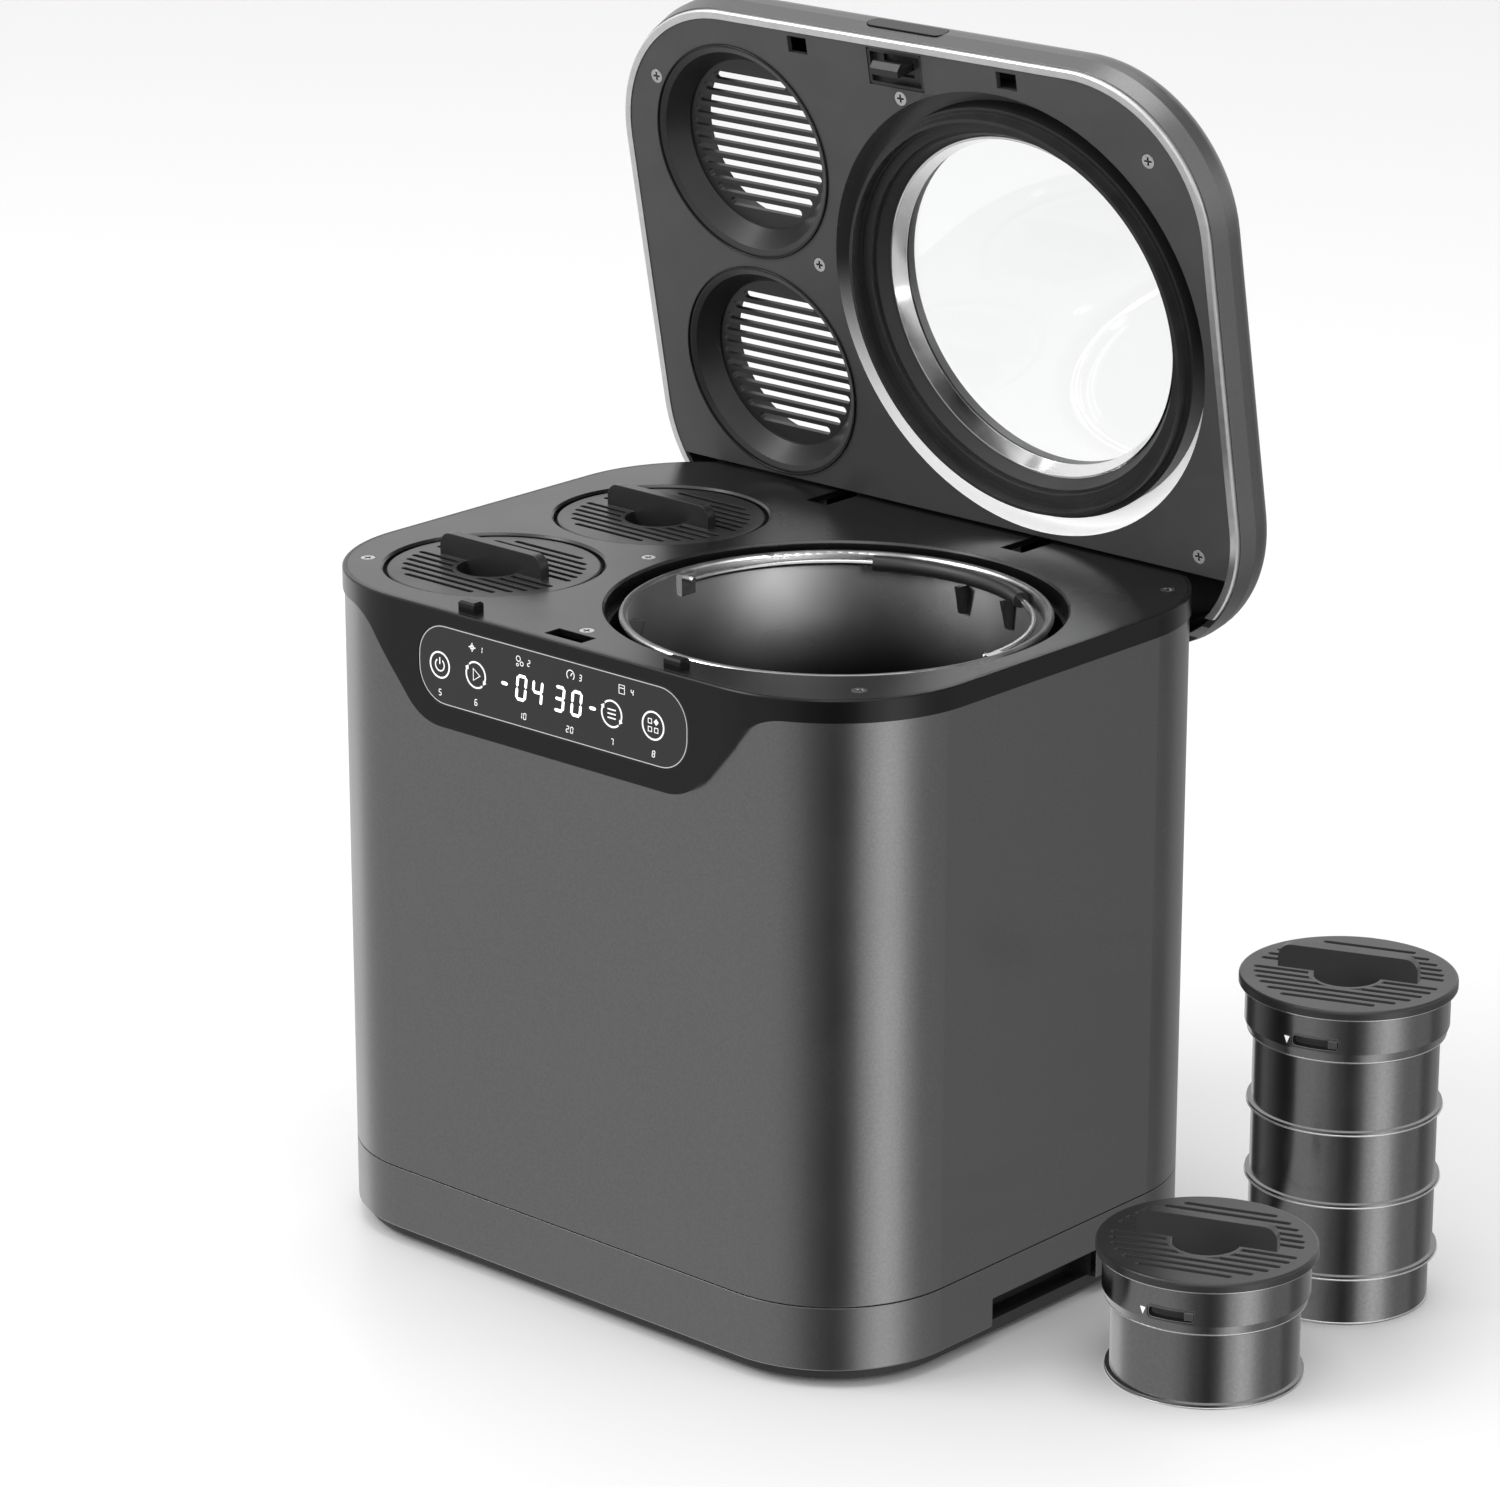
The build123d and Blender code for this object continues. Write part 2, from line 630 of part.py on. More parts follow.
with BuildPart() as front_fascia:
    inset_slab(DECK_PLAN, 0, APRON_Z, BODY_TOP)
    with BuildSketch(Plane(origin=(0, FRONT_FACE, 0), x_dir=(1, 0, 0), z_dir=(0, -1, 0))):
        with BuildLine():
            apron_edge = FilletPolyline(
                (-DECK_W / 2, BODY_TOP),
                (-APRON_HALF_TOP, BODY_TOP),
                (-APRON_HALF_BOTTOM, APRON_Z),
                (APRON_HALF_BOTTOM, APRON_Z),
                (APRON_HALF_TOP, BODY_TOP),
                (DECK_W / 2, BODY_TOP),
                radius=APRON_BEND,
            )
            Polyline(
                apron_edge @ 1,
                (DECK_W / 2, DECK_TOP),
                (-DECK_W / 2, DECK_TOP),
                apron_edge @ 0,
            )
        make_face()
    extrude(amount=-DECK_R, mode=Mode.INTERSECT)
    inset_slab(BODY_PLAN, 0, APRON_Z, BODY_TOP, mode=Mode.SUBTRACT)
    inset_slab(DECK_PLAN, 0, BODY_TOP, DECK_TOP)
    chamfer(front_fascia.faces().sort_by(Axis.Z)[-1].outer_wire().edges(), EDGE_BREAK)
    inset_slab(DECK_PLAN, BAND_WALL, PLATE_Z, DECK_TOP, mode=Mode.SUBTRACT)
    inset_slab(DECK_PLAN, LEDGE_INSET, BODY_TOP, PLATE_Z, mode=Mode.SUBTRACT)
    with BuildSketch(Plane(origin=(0, FRONT_FACE, PANEL_Z), x_dir=(1, 0, 0), z_dir=(0, -1, 0))):
        RectangleRounded(PANEL_W + 2 * FIT, PANEL_H + 2 * FIT, PANEL_R + FIT)
    extrude(amount=PANEL_BACK, dir=(0, 1, 0), mode=Mode.SUBTRACT)
    block(
        around(0, DISPLAY_W / 2 + FIT),
        (FRONT_FACE, FRONT_FACE + OVERHANG),
        around(PANEL_Z, DISPLAY_H / 2 + FIT),
        mode=Mode.SUBTRACT,
    )
    block(
        around(LATCH_X, LATCH_SLOT_W / 2),
        around(LATCH_Y, LATCH_SLOT_D / 2),
        (BODY_TOP, PLATE_Z),
        mode=Mode.SUBTRACT,
    )
    for arm_x in (-ARM_X, ARM_X):
        block(around(arm_x, SLOT_HALF), (SLOT_FRONT_Y, DECK_D), (BODY_TOP, DECK_TOP), mode=Mode.SUBTRACT)
save(front_fascia.part, "front_fascia")

with BuildPart() as touch_panel:
    panel_face_y = FRONT_FACE + PANEL_RECESS
    with BuildSketch(Plane(origin=(0, panel_face_y, PANEL_Z), x_dir=(1, 0, 0), z_dir=(0, -1, 0))):
        RectangleRounded(PANEL_W, PANEL_H, PANEL_R)
    extrude(amount=-PANEL_T)
save(touch_panel.part, "touch_panel")

display_front = FRONT_FACE + PANEL_BACK
display_back = display_front + DISPLAY_T
with BuildPart() as display_module:
    block(around(0, DISPLAY_W / 2), (display_front, display_back), around(PANEL_Z, DISPLAY_H / 2))
    board_y = (display_back, display_back + BOARD_T)
    block(around(0, DISPLAY_BOARD_W / 2), board_y, around(PANEL_Z, DISPLAY_BOARD_H / 2))
save(display_module.part, "display_module")

with BuildPart() as top_deck:
    inset_slab(DECK_PLAN, PLATE_INSET, PLATE_Z, DECK_TOP)
    for spot in FILTER_SPOTS.values():
        disc(spot, FILTER_HOLE_R, PLATE_Z, DECK_TOP, mode=Mode.SUBTRACT)
    disc(BUCKET_AT, BUCKET_HOLE_R, PLATE_Z, DECK_TOP, mode=Mode.SUBTRACT)
    chamfer(top_deck.faces().sort_by(Axis.Z)[-1].inner_wires().edges(), MOUTH_CHAMFER)
    tube(BUCKET_AT, BUCKET_HOLE_R + CHAMBER_WALL, BUCKET_HOLE_R, BODY_TOP, PLATE_Z)
    block(
        around(LATCH_X, LATCH_SLOT_W / 2),
        around(LATCH_Y, LATCH_SLOT_D / 2),
        (PLATE_Z, DECK_TOP),
        mode=Mode.SUBTRACT,
    )
    for arm_x in (-ARM_X, ARM_X):
        block(around(arm_x, SLOT_HALF), (SLOT_FRONT_Y, DECK_D), (BODY_TOP, DECK_TOP), mode=Mode.SUBTRACT)
    screw_holes(DECK_SCREWS, DECK_TOP, 1, DECK_T)
save(top_deck.part, "top_deck")

with BuildPart() as lid_pegs:
    for peg_x in PEG_XS:
        block(around(peg_x, PEG_W / 2), around(PEG_Y, PEG_D / 2), (DECK_TOP, DECK_TOP + PEG_H))
    chamfer(lid_pegs.faces().filter_by(Axis.Z).group_by(Axis.Z)[-1].edges(), 1.5 * EDGE_BREAK)
save(lid_pegs.part, "lid_pegs")

with BuildPart() as deck_screws:
    screws(DECK_SCREWS, DECK_TOP, 1)
save(deck_screws.part, "deck_screws")

# ---------------------------------------------------------------- bucket chamber and heater

with BuildPart() as bucket_chamber:
    tube(BUCKET_AT, CHAMBER_FLANGE_R, CHAMBER_R, BODY_TOP - 2 * CHAMBER_WALL, BODY_TOP)
    chamber_foot = CHAMBER_FLOOR_Z - CHAMBER_FLOOR_T
    tube(BUCKET_AT, CHAMBER_R + CHAMBER_WALL, CHAMBER_R, chamber_foot, BODY_TOP)
    disc(BUCKET_AT, CHAMBER_R, chamber_foot, CHAMBER_FLOOR_Z)
    disc(BUCKET_AT, ROTOR_SHAFT_R + EASY_FIT, chamber_foot, CHAMBER_FLOOR_Z, mode=Mode.SUBTRACT)
    duct_mouth_z = (DUCT_TOP_Z - DUCT_DOOR_H + DUCT_WALL, DUCT_TOP_Z - DUCT_WALL)
    mouth_y = (BUCKET_Y, BUCKET_Y + CHAMBER_R + 2 * CHAMBER_WALL)
    block(around(BUCKET_X, DUCT_W / 2 - DUCT_WALL), mouth_y, duct_mouth_z, mode=Mode.SUBTRACT)
save(bucket_chamber.part, "bucket_chamber")

with BuildPart() as heater_ring:
    tube(BUCKET_AT, HEATER_OUT_R, HEATER_IN_R, chamber_foot - HEATER_T, chamber_foot)
save(heater_ring.part, "heater_ring")

# ---------------------------------------------------------------- drive

INPUT_GEAR_R = INPUT_MODULE * INPUT_TEETH / 2
OUTPUT_GEAR_R = OUTPUT_MODULE * OUTPUT_TEETH / 2
GEARBOX_ROOM = GEARBOX_WALL + GEAR_CLEAR
gearbox_low_x = IDLER_AT[0] - INPUT_GEAR_R - GEARBOX_ROOM
gearbox_high_x = BUCKET_X + OUTPUT_GEAR_R + GEARBOX_ROOM
gearbox_low_y = BUCKET_Y - OUTPUT_GEAR_R - GEARBOX_ROOM
gearbox_high_y = MOTOR_AT[1] + INPUT_MODULE * PINION_TEETH / 2 + GEARBOX_ROOM
GEARBOX_AT = ((gearbox_low_x + gearbox_high_x) / 2, (gearbox_low_y + gearbox_high_y) / 2)
GEARBOX_PLAN = (gearbox_high_x - gearbox_low_x, gearbox_high_y - gearbox_low_y, GEARBOX_CORNER)

with BuildPart() as gearbox_housing:
    inset_slab(GEARBOX_PLAN, 0, GEARBOX_Z, GEARBOX_TOP, at=GEARBOX_AT)
    inset_slab(
        GEARBOX_PLAN,
        GEARBOX_WALL,
        GEARBOX_FLOOR_TOP,
        GEARBOX_TOP,
        mode=Mode.SUBTRACT,
        at=GEARBOX_AT,
    )
    boss_r = BEARING_R + GEARBOX_WALL
    disc(BUCKET_AT, boss_r, GEARBOX_FLOOR_TOP, GEARBOX_FLOOR_TOP + BEARING_H)
    disc(BUCKET_AT, BEARING_R, GEARBOX_FLOOR_TOP, GEARBOX_FLOOR_TOP + BEARING_H, mode=Mode.SUBTRACT)
    disc(IDLER_AT, AXLE_R, GEARBOX_Z, GEARBOX_FLOOR_TOP, mode=Mode.SUBTRACT)
    disc(MOTOR_AT, MOTOR_SHAFT_R + EASY_FIT, GEARBOX_Z, GEARBOX_FLOOR_TOP, mode=Mode.SUBTRACT)
save(gearbox_housing.part, "gearbox_housing")

with BuildPart() as gearbox_cover:
    inset_slab(GEARBOX_PLAN, 0, GEARBOX_TOP, COVER_TOP, at=GEARBOX_AT)
    disc(BUCKET_AT, boss_r, COVER_TOP - BEARING_H, GEARBOX_TOP)
    disc(BUCKET_AT, BEARING_R, COVER_TOP - BEARING_H, COVER_TOP, mode=Mode.SUBTRACT)
    disc(IDLER_AT, AXLE_R, GEARBOX_TOP, COVER_TOP, mode=Mode.SUBTRACT)
    with BuildSketch(Plane.XY.offset(COVER_TOP)):
        with Locations(BUCKET_AT):
            with PolarLocations(POST_CIRCLE_R, 4, start_angle=45):
                Circle(POST_R)
    extrude(amount=chamber_foot - COVER_TOP)
save(gearbox_cover.part, "gearbox_cover")

with BuildPart() as drive_bearings:
    for bearing_z in (GEARBOX_FLOOR_TOP, COVER_TOP - BEARING_H):
        tube(BUCKET_AT, BEARING_R, ROTOR_SHAFT_R + RUN_FIT, bearing_z, bearing_z + BEARING_H)
save(drive_bearings.part, "drive_bearings")

with BuildPart() as reduction_axle:
    disc(IDLER_AT, AXLE_R, GEARBOX_Z, COVER_TOP)
save(reduction_axle.part, "reduction_axle")

with BuildPart() as drive_motor:
    disc(MOTOR_AT, MOTOR_R, GEARBOX_Z - MOTOR_H, GEARBOX_Z)
    chamfer(drive_motor.edges().filter_by(GeomType.CIRCLE), MOTOR_EDGE)
    disc(MOTOR_AT, MOTOR_SHAFT_R + RUN_FIT, MOTOR_BORE_Z, GEARBOX_Z, mode=Mode.SUBTRACT)
save(drive_motor.part, "drive_motor")

with BuildPart() as motor_pinion:
    pinion_top = INPUT_GEAR_Z + INPUT_GEAR_FACE + 1
    pinion_tooth = 270 + 180 / PINION_TEETH
    gear(MOTOR_AT, INPUT_MODULE, PINION_TEETH, INPUT_GEAR_Z, pinion_top, MOTOR_SHAFT_R - 1, pinion_tooth)
    disc(MOTOR_AT, MOTOR_SHAFT_R, MOTOR_BORE_Z + 1, pinion_top + 1)
save(motor_pinion.part, "motor_pinion")

small_gear_z = INPUT_GEAR_Z + INPUT_GEAR_FACE
with BuildPart() as reduction_gear:
    gear(IDLER_AT, INPUT_MODULE, INPUT_TEETH, INPUT_GEAR_Z, small_gear_z, AXLE_R + RUN_FIT, 90)
    small_top = OUTPUT_GEAR_Z + GEAR_FACE
    gear(
        IDLER_AT,
        OUTPUT_MODULE,
        PINION_TEETH,
        small_gear_z,
        small_top,
        AXLE_R + RUN_FIT,
        180 / PINION_TEETH,
    )
    tube(IDLER_AT, 2 * AXLE_R, AXLE_R + RUN_FIT, GEARBOX_FLOOR_TOP + FIT, INPUT_GEAR_Z)
save(reduction_gear.part, "reduction_gear")

with BuildPart() as output_gear:
    output_top = OUTPUT_GEAR_Z + GEAR_FACE
    gear(BUCKET_AT, OUTPUT_MODULE, OUTPUT_TEETH, OUTPUT_GEAR_Z, output_top, ROTOR_SHAFT_R, 180)
save(output_gear.part, "output_gear")

SHAFT_TOP = CHAMBER_FLOOR_Z + 1.0
with BuildPart() as drive_shaft:
    disc(BUCKET_AT, ROTOR_SHAFT_R, GEARBOX_FLOOR_TOP + FIT, SHAFT_TOP)
    disc(BUCKET_AT, ROTOR_SHAFT_R + 3, GEARBOX_FLOOR_TOP + BEARING_H + FIT, OUTPUT_GEAR_Z)
    tongue_z = (SHAFT_TOP, SHAFT_TOP + TONGUE_H)
    block(around(BUCKET_X, TONGUE_L / 2), around(BUCKET_Y, TONGUE_W / 2), tongue_z)
save(drive_shaft.part, "drive_shaft")

# ---------------------------------------------------------------- bucket, bail and rotor

def bucket_inner_r(height):
    """The inside radius of the tapered bucket wall at a height."""
    share = (height - BUCKET_FLOOR) / (BUCKET_TOP - BUCKET_FLOOR)
    return BUCKET_FOOT_R + share * (BUCKET_R - BUCKET_FOOT_R)


wall_top = BUCKET_TOP - BEAD_R
HUB_TOP = BUCKET_FLOOR + HUB_H
with BuildPart() as bucket:
    lathe(
        BUCKET_AT,
        [
            (0, BUCKET_FLOOR),
            (bucket_inner_r(BUCKET_FLOOR) + BUCKET_WALL, BUCKET_FLOOR),
            (bucket_inner_r(wall_top) + BUCKET_WALL, wall_top),
            (0, wall_top),
        ],
    )
    fillet(bucket.faces().sort_by(Axis.Z)[0].edges(), BUCKET_BEND)
    offset(amount=-BUCKET_WALL, openings=bucket.faces().sort_by(Axis.Z)[-1])
    with BuildSketch(Plane(origin=(BUCKET_X, BUCKET_Y, 0), x_dir=(1, 0, 0), z_dir=(0, -1, 0))):
        with Locations((bucket_inner_r(wall_top) + BUCKET_WALL + BEAD_R / 2, wall_top)):
            Circle(BEAD_R)
    revolve(axis=Axis((BUCKET_X, BUCKET_Y, 0), (0, 0, 1)))
    ring_inner_r = BUCKET_FOOT_RING_R - BUCKET_FOOT_RING_T
    ring_top = BUCKET_FLOOR + BUCKET_WALL / 2
    tube(BUCKET_AT, BUCKET_FOOT_RING_R, ring_inner_r, CHAMBER_FLOOR_Z + FIT, ring_top)
    disc(BUCKET_AT, ROTOR_HUB_R, BUCKET_FLOOR - HUB_DROP, HUB_TOP)
    disc(BUCKET_AT, ROTOR_SHAFT_R + RUN_FIT, BUCKET_FLOOR - HUB_DROP, HUB_TOP, mode=Mode.SUBTRACT)
save(bucket.part, "bucket")

WALL_SEAT = 0.02
BUCKET_ROOM = [
    (0, BUCKET_FLOOR),
    (bucket_inner_r(BUCKET_FLOOR) - WALL_SEAT, BUCKET_FLOOR),
    (bucket_inner_r(BUCKET_TOP) - WALL_SEAT, BUCKET_TOP),
    (0, BUCKET_TOP),
]

with BuildPart() as bucket_teeth:
    tooth_top = BAIL_Z - BAIL_GRIP_R - 2.0
    for tooth_angle in TOOTH_ANGLES:
        heading = (cos(radians(tooth_angle)), sin(radians(tooth_angle)), 0)
        sideways = (heading[1], -heading[0], 0)
        with BuildSketch(Plane(origin=(BUCKET_X, BUCKET_Y, 0), x_dir=heading, z_dir=sideways)):
            Polygon(
                (BUCKET_R + 1, tooth_top),
                (bucket_inner_r(tooth_top) - TOOTH_OUT, tooth_top),
                (bucket_inner_r(tooth_top) - TOOTH_OUT / 2, tooth_top - TOOTH_H),
                (BUCKET_R + 1, tooth_top - TOOTH_H),
                align=None,
            )
        extrude(amount=TOOTH_T / 2, both=True)
    lathe(BUCKET_AT, BUCKET_ROOM, mode=Mode.INTERSECT)
save(bucket_teeth.part, "bucket_teeth")

with BuildPart() as bucket_ears:
    for side in (-1, 1):
        ear_x = BUCKET_X + side * BUCKET_R
        reach_x = BUCKET_X + side * (BUCKET_R - EAR_T)
        ear_z = (BAIL_Z - 2 * EAR_T, BAIL_Z + BAIL_WIRE_R + 1)
        block((min(ear_x, reach_x), max(ear_x, reach_x)), around(BUCKET_Y, EAR_W / 2), ear_z)
    with BuildSketch(Plane(origin=(0, BUCKET_Y, BAIL_Z), x_dir=(0, 1, 0), z_dir=(1, 0, 0))):
        Circle(BAIL_WIRE_R + RUN_FIT)
    extrude(amount=DECK_W, both=True, mode=Mode.SUBTRACT)
    lathe(BUCKET_AT, BUCKET_ROOM, mode=Mode.INTERSECT)
save(bucket_ears.part, "bucket_ears")

with BuildPart() as bail_wire:
    with BuildSketch(Plane(origin=(BUCKET_X, BUCKET_Y, 0), x_dir=(1, 0, 0), z_dir=(0, -1, 0))):
        with Locations((BAIL_R, BAIL_Z)):
            Circle(BAIL_WIRE_R)
    revolve(axis=Axis((BUCKET_X, BUCKET_Y, 0), (0, 0, 1)), revolution_arc=180)
    for side in (-1, 1):
        end_x = BUCKET_X + side * (BAIL_R - BAIL_WIRE_R)
        with BuildSketch(Plane(origin=(end_x, BUCKET_Y, BAIL_Z), x_dir=(0, 1, 0), z_dir=(side, 0, 0))):
            Circle(BAIL_WIRE_R)
        extrude(amount=BUCKET_R - BAIL_R + BAIL_WIRE_R - 0.8)
save(bail_wire.part, "bail_wire")

with BuildPart() as bail_grip:
    start = radians(90 - BAIL_GRIP_HALF)
    heading = (cos(start), sin(start), 0)
    sideways = (heading[1], -heading[0], 0)
    with BuildSketch(Plane(origin=(BUCKET_X, BUCKET_Y, 0), x_dir=heading, z_dir=sideways)):
        with Locations((BAIL_R, BAIL_Z)):
            Circle(BAIL_GRIP_R)
            Circle(BAIL_WIRE_R, mode=Mode.SUBTRACT)
    revolve(axis=Axis((BUCKET_X, BUCKET_Y, 0), (0, 0, 1)), revolution_arc=2 * BAIL_GRIP_HALF)
save(bail_grip.part, "bail_grip")

with BuildPart() as rotor:
    rotor_foot = SHAFT_TOP + 1.0
    hub_foot = HUB_TOP + FIT
    disc(BUCKET_AT, ROTOR_SHAFT_R, rotor_foot, hub_foot)
    slot_z = (rotor_foot, SHAFT_TOP + TONGUE_H + 1.0)
    slot_half = TONGUE_W / 2 + EASY_FIT
    block(around(BUCKET_X, ROTOR_SHAFT_R + 1), around(BUCKET_Y, slot_half), slot_z, mode=Mode.SUBTRACT)
    disc(BUCKET_AT, ROTOR_HUB_R, hub_foot, ROTOR_TOP_Z)
    fillet(rotor.faces().sort_by(Axis.Z)[-1].edges(), ROTOR_CROWN)
    blade_h = (ROTOR_TOP_Z - hub_foot) / (2 * ROTOR_LEVELS)
    for level in range(ROTOR_LEVELS):
        blade_z = hub_foot + (level + 0.6) * (ROTOR_TOP_Z - hub_foot) / ROTOR_LEVELS
        reach = ROTOR_REACH * (1 - ROTOR_STEP_IN * level)
        blade_angle = ROTOR_BLADE_ANGLE + 180 * level / ROTOR_LEVELS
        with Locations(Location((BUCKET_X, BUCKET_Y, blade_z), (0, 0, blade_angle))):
            Box(2 * reach, ROTOR_BLADE_T, blade_h)
    leg_top = hub_foot + 0.6 * (ROTOR_TOP_Z - hub_foot) / ROTOR_LEVELS
    leg_foot = BUCKET_FLOOR + BUCKET_WALL + ROTOR_FLOOR_GAP
    with Locations(Location((BUCKET_X, BUCKET_Y, (leg_top + leg_foot) / 2), (0, 0, ROTOR_BLADE_ANGLE))):
        with Locations((-ROTOR_LEG_R, 0), (ROTOR_LEG_R, 0)):
            Box(ROTOR_LEG_W, ROTOR_BLADE_T, leg_top - leg_foot)
save(rotor.part, "rotor")

# ---------------------------------------------------------------- filter canisters and wells

def radial_plane(at, angle, height):
    """A plane that faces out of an upright cylinder at an angle, with +X along the girth."""
    heading = (cos(radians(angle)), sin(radians(angle)), 0)
    origin = (at[0], at[1], height)
    return Plane(origin=origin, x_dir=(-heading[1], heading[0], 0), z_dir=heading)


def turned(part, at, angle):
    """A part turned about the upright line through a point of the plan."""
    return part.rotate(Axis((at[0], at[1], 0), (0, 0, 1)), angle)


def canister(name, at, foot, cans, cup, turn=0):
    """A cap and its stack of cans, standing at a height; cup says whether the last piece is the cup."""
    stack_foot = foot + (CUP_H if cup else 0)
    stack_top = stack_foot + cans * CAN_H
    plate_z = stack_top + CAP_SKIRT_H
    lug_z = stack_top + BAYONET_RISE
    with BuildPart() as can_stack:
        if cup:
            tube(at, CUP_R, CUP_R - CAN_WALL, foot, stack_foot)
            disc(at, CUP_R - CAN_WALL, foot, foot + CAN_WALL)
            fillet(can_stack.faces().sort_by(Axis.Z)[0].outer_wire().edges(), CUP_EDGE)
        for index in range(cans):
            can_z = stack_foot + index * CAN_H
            tube(at, CAN_R, CAN_R - CAN_WALL, can_z, can_z + CAN_H)
            tube(at, CAN_R + CAN_BEAD, CAN_R, can_z, can_z + CAN_BEAD)
            disc(at, CAN_R - CAN_WALL, can_z, can_z + CAN_WALL)
        tube(at, CAN_R, CAN_R - CAN_WALL, stack_top, stack_top + CAP_SKIRT_H - NECK_GAP)
        with BuildSketch(radial_plane(at, BAYONET_ANGLE, lug_z)):
            Rectangle(LUG_W, LUG_H)
        extrude(amount=CAP_SKIRT_R - LUG_INSET)
        disc(at, CAN_R - CAN_WALL, lug_z - BAYONET_H, lug_z + BAYONET_H, mode=Mode.SUBTRACT)
    save(turned(can_stack.part, at, turn), name + "_cans")

    with BuildPart() as cap:
        disc(at, CAP_R, plate_z, plate_z + CAP_RIM_H)
        fillet(cap.edges().filter_by(GeomType.CIRCLE).group_by(Axis.Z)[-1], CAP_LIP)
        slots(at, CAP_SLOT_R, CAP_SLOT_W, CAP_SLOT_PITCH, plate_z, plate_z + CAP_RIM_H, skip=TAB_T)
        skirt_low_r = CAP_SKIRT_R - SKIRT_TAPER
        inner_r = CAN_R + EASY_FIT
        lathe(
            at,
            [
                (inner_r, plate_z),
                (CAP_SKIRT_R, plate_z),
                (CAP_SKIRT_R, plate_z - CAP_SKIRT_H + SKIRT_TAPER_H),
                (skirt_low_r, plate_z - CAP_SKIRT_H + FIT),
                (inner_r, plate_z - CAP_SKIRT_H + FIT),
            ],
        )
        window_half = CAP_SKIRT_R * radians(CAP_TURN) / 2 + LUG_W / 2 + EASY_FIT
        window_angle = BAYONET_ANGLE - CAP_TURN / 2
        with BuildSketch(radial_plane(at, window_angle, lug_z)):
            RectangleRounded(2 * window_half, BAYONET_H, BAYONET_CORNER)
        extrude(amount=CAP_R, mode=Mode.SUBTRACT)
        cap_top = plate_z + CAP_RIM_H
        disc((at[0], at[1] - TAB_T / 2), POCKET_R, plate_z, cap_top, mode=Mode.SUBTRACT)
        pocket_foot = plate_z - POCKET_H
        tube((at[0], at[1] - TAB_T / 2), POCKET_R + CAP_WALL, POCKET_R, pocket_foot, cap_top)
        disc((at[0], at[1] - TAB_T / 2), POCKET_R, pocket_foot, pocket_foot + CAP_WALL)
        block(
            around(at[0], POCKET_R + CAP_WALL),
            (at[1] - TAB_T / 2, at[1] + POCKET_R + CAP_WALL),
            (pocket_foot, cap_top),
            mode=Mode.SUBTRACT,
        )
        block(around(at[0], TAB_L / 2), around(at[1], TAB_T / 2), (plate_z, cap_top))
        block(around(at[0], POCKET_R + CAP_WALL), around(at[1], TAB_T / 2), (pocket_foot, cap_top))
        back_y = (at[1] + TAB_T / 2, at[1] + POCKET_R + CAP_WALL)
        block(around(at[0], POCKET_R + CAP_WALL), back_y, (plate_z, cap_top))
        with BuildSketch(Plane(origin=(at[0], at[1], cap_top), x_dir=(1, 0, 0), z_dir=(0, -1, 0))):
            with Locations((0, TAB_H / 2)):
                Rectangle(TAB_L, TAB_H)
        extrude(amount=TAB_T / 2, both=True)
        tab_corners = cap.edges().filter_by(Axis.Y).group_by(Axis.Z)[-1]
        fillet(tab_corners, TAB_CORNER)
    save(turned(cap.part, at, turn), name + "_cap")


for place, spot in FILTER_SPOTS.items():
    canister(place + "_filter", spot, CANISTER_FOOT, CAN_COUNT, cup=True)
canister("tall_filter", (TALL_X, TALL_Y), 0, CAN_COUNT, cup=True, turn=SPARE_TURN)
canister("short_filter", (SHORT_X, SHORT_Y), 0, 1, cup=False, turn=SPARE_TURN)

RIM_SEAT_Z = CANISTER_FOOT + CAP_PLATE_Z - FIT
for place, spot in FILTER_SPOTS.items():
    with BuildPart() as filter_well:
        tube(spot, WELL_R + WELL_WALL, WELL_R, WELL_FOOT, RIM_SEAT_Z)
        tube(spot, FILTER_HOLE_R + 2 * WELL_WALL, WELL_R, RIM_SEAT_Z - RIM_SEAT_T, RIM_SEAT_Z)
        tube(spot, FILTER_HOLE_R + 2 * WELL_WALL, FILTER_HOLE_R + WELL_WALL / 2, RIM_SEAT_Z, PLATE_Z)
        tube(spot, WELL_R, WELL_R - WELL_STEP, WELL_FOOT, WELL_FOOT + WELL_WALL)
    save(filter_well.part, place + "_filter_well")

# ---------------------------------------------------------------- blower, plenum and duct

PLENUM_AT = (FILTER_X, (FRONT_FILTER_Y + REAR_FILTER_Y) / 2)
PLENUM_PLAN = (PLENUM_W, REAR_FILTER_Y - FRONT_FILTER_Y + PLENUM_W, PLENUM_CORNER)
with BuildPart() as filter_plenum:
    inset_slab(PLENUM_PLAN, 0, PLENUM_Z, PLENUM_TOP, at=PLENUM_AT)
    inset_slab(
        PLENUM_PLAN,
        BLOWER_WALL,
        PLENUM_Z + BLOWER_WALL,
        PLENUM_TOP - BLOWER_WALL,
        mode=Mode.SUBTRACT,
        at=PLENUM_AT,
    )
    for spot in FILTER_SPOTS.values():
        disc(spot, WELL_R - WELL_STEP, PLENUM_TOP - BLOWER_WALL, PLENUM_TOP, mode=Mode.SUBTRACT)
    disc(BLOWER_AT, BLOWER_PORT_R, PLENUM_Z, PLENUM_Z + BLOWER_WALL, mode=Mode.SUBTRACT)
save(filter_plenum.part, "filter_plenum")

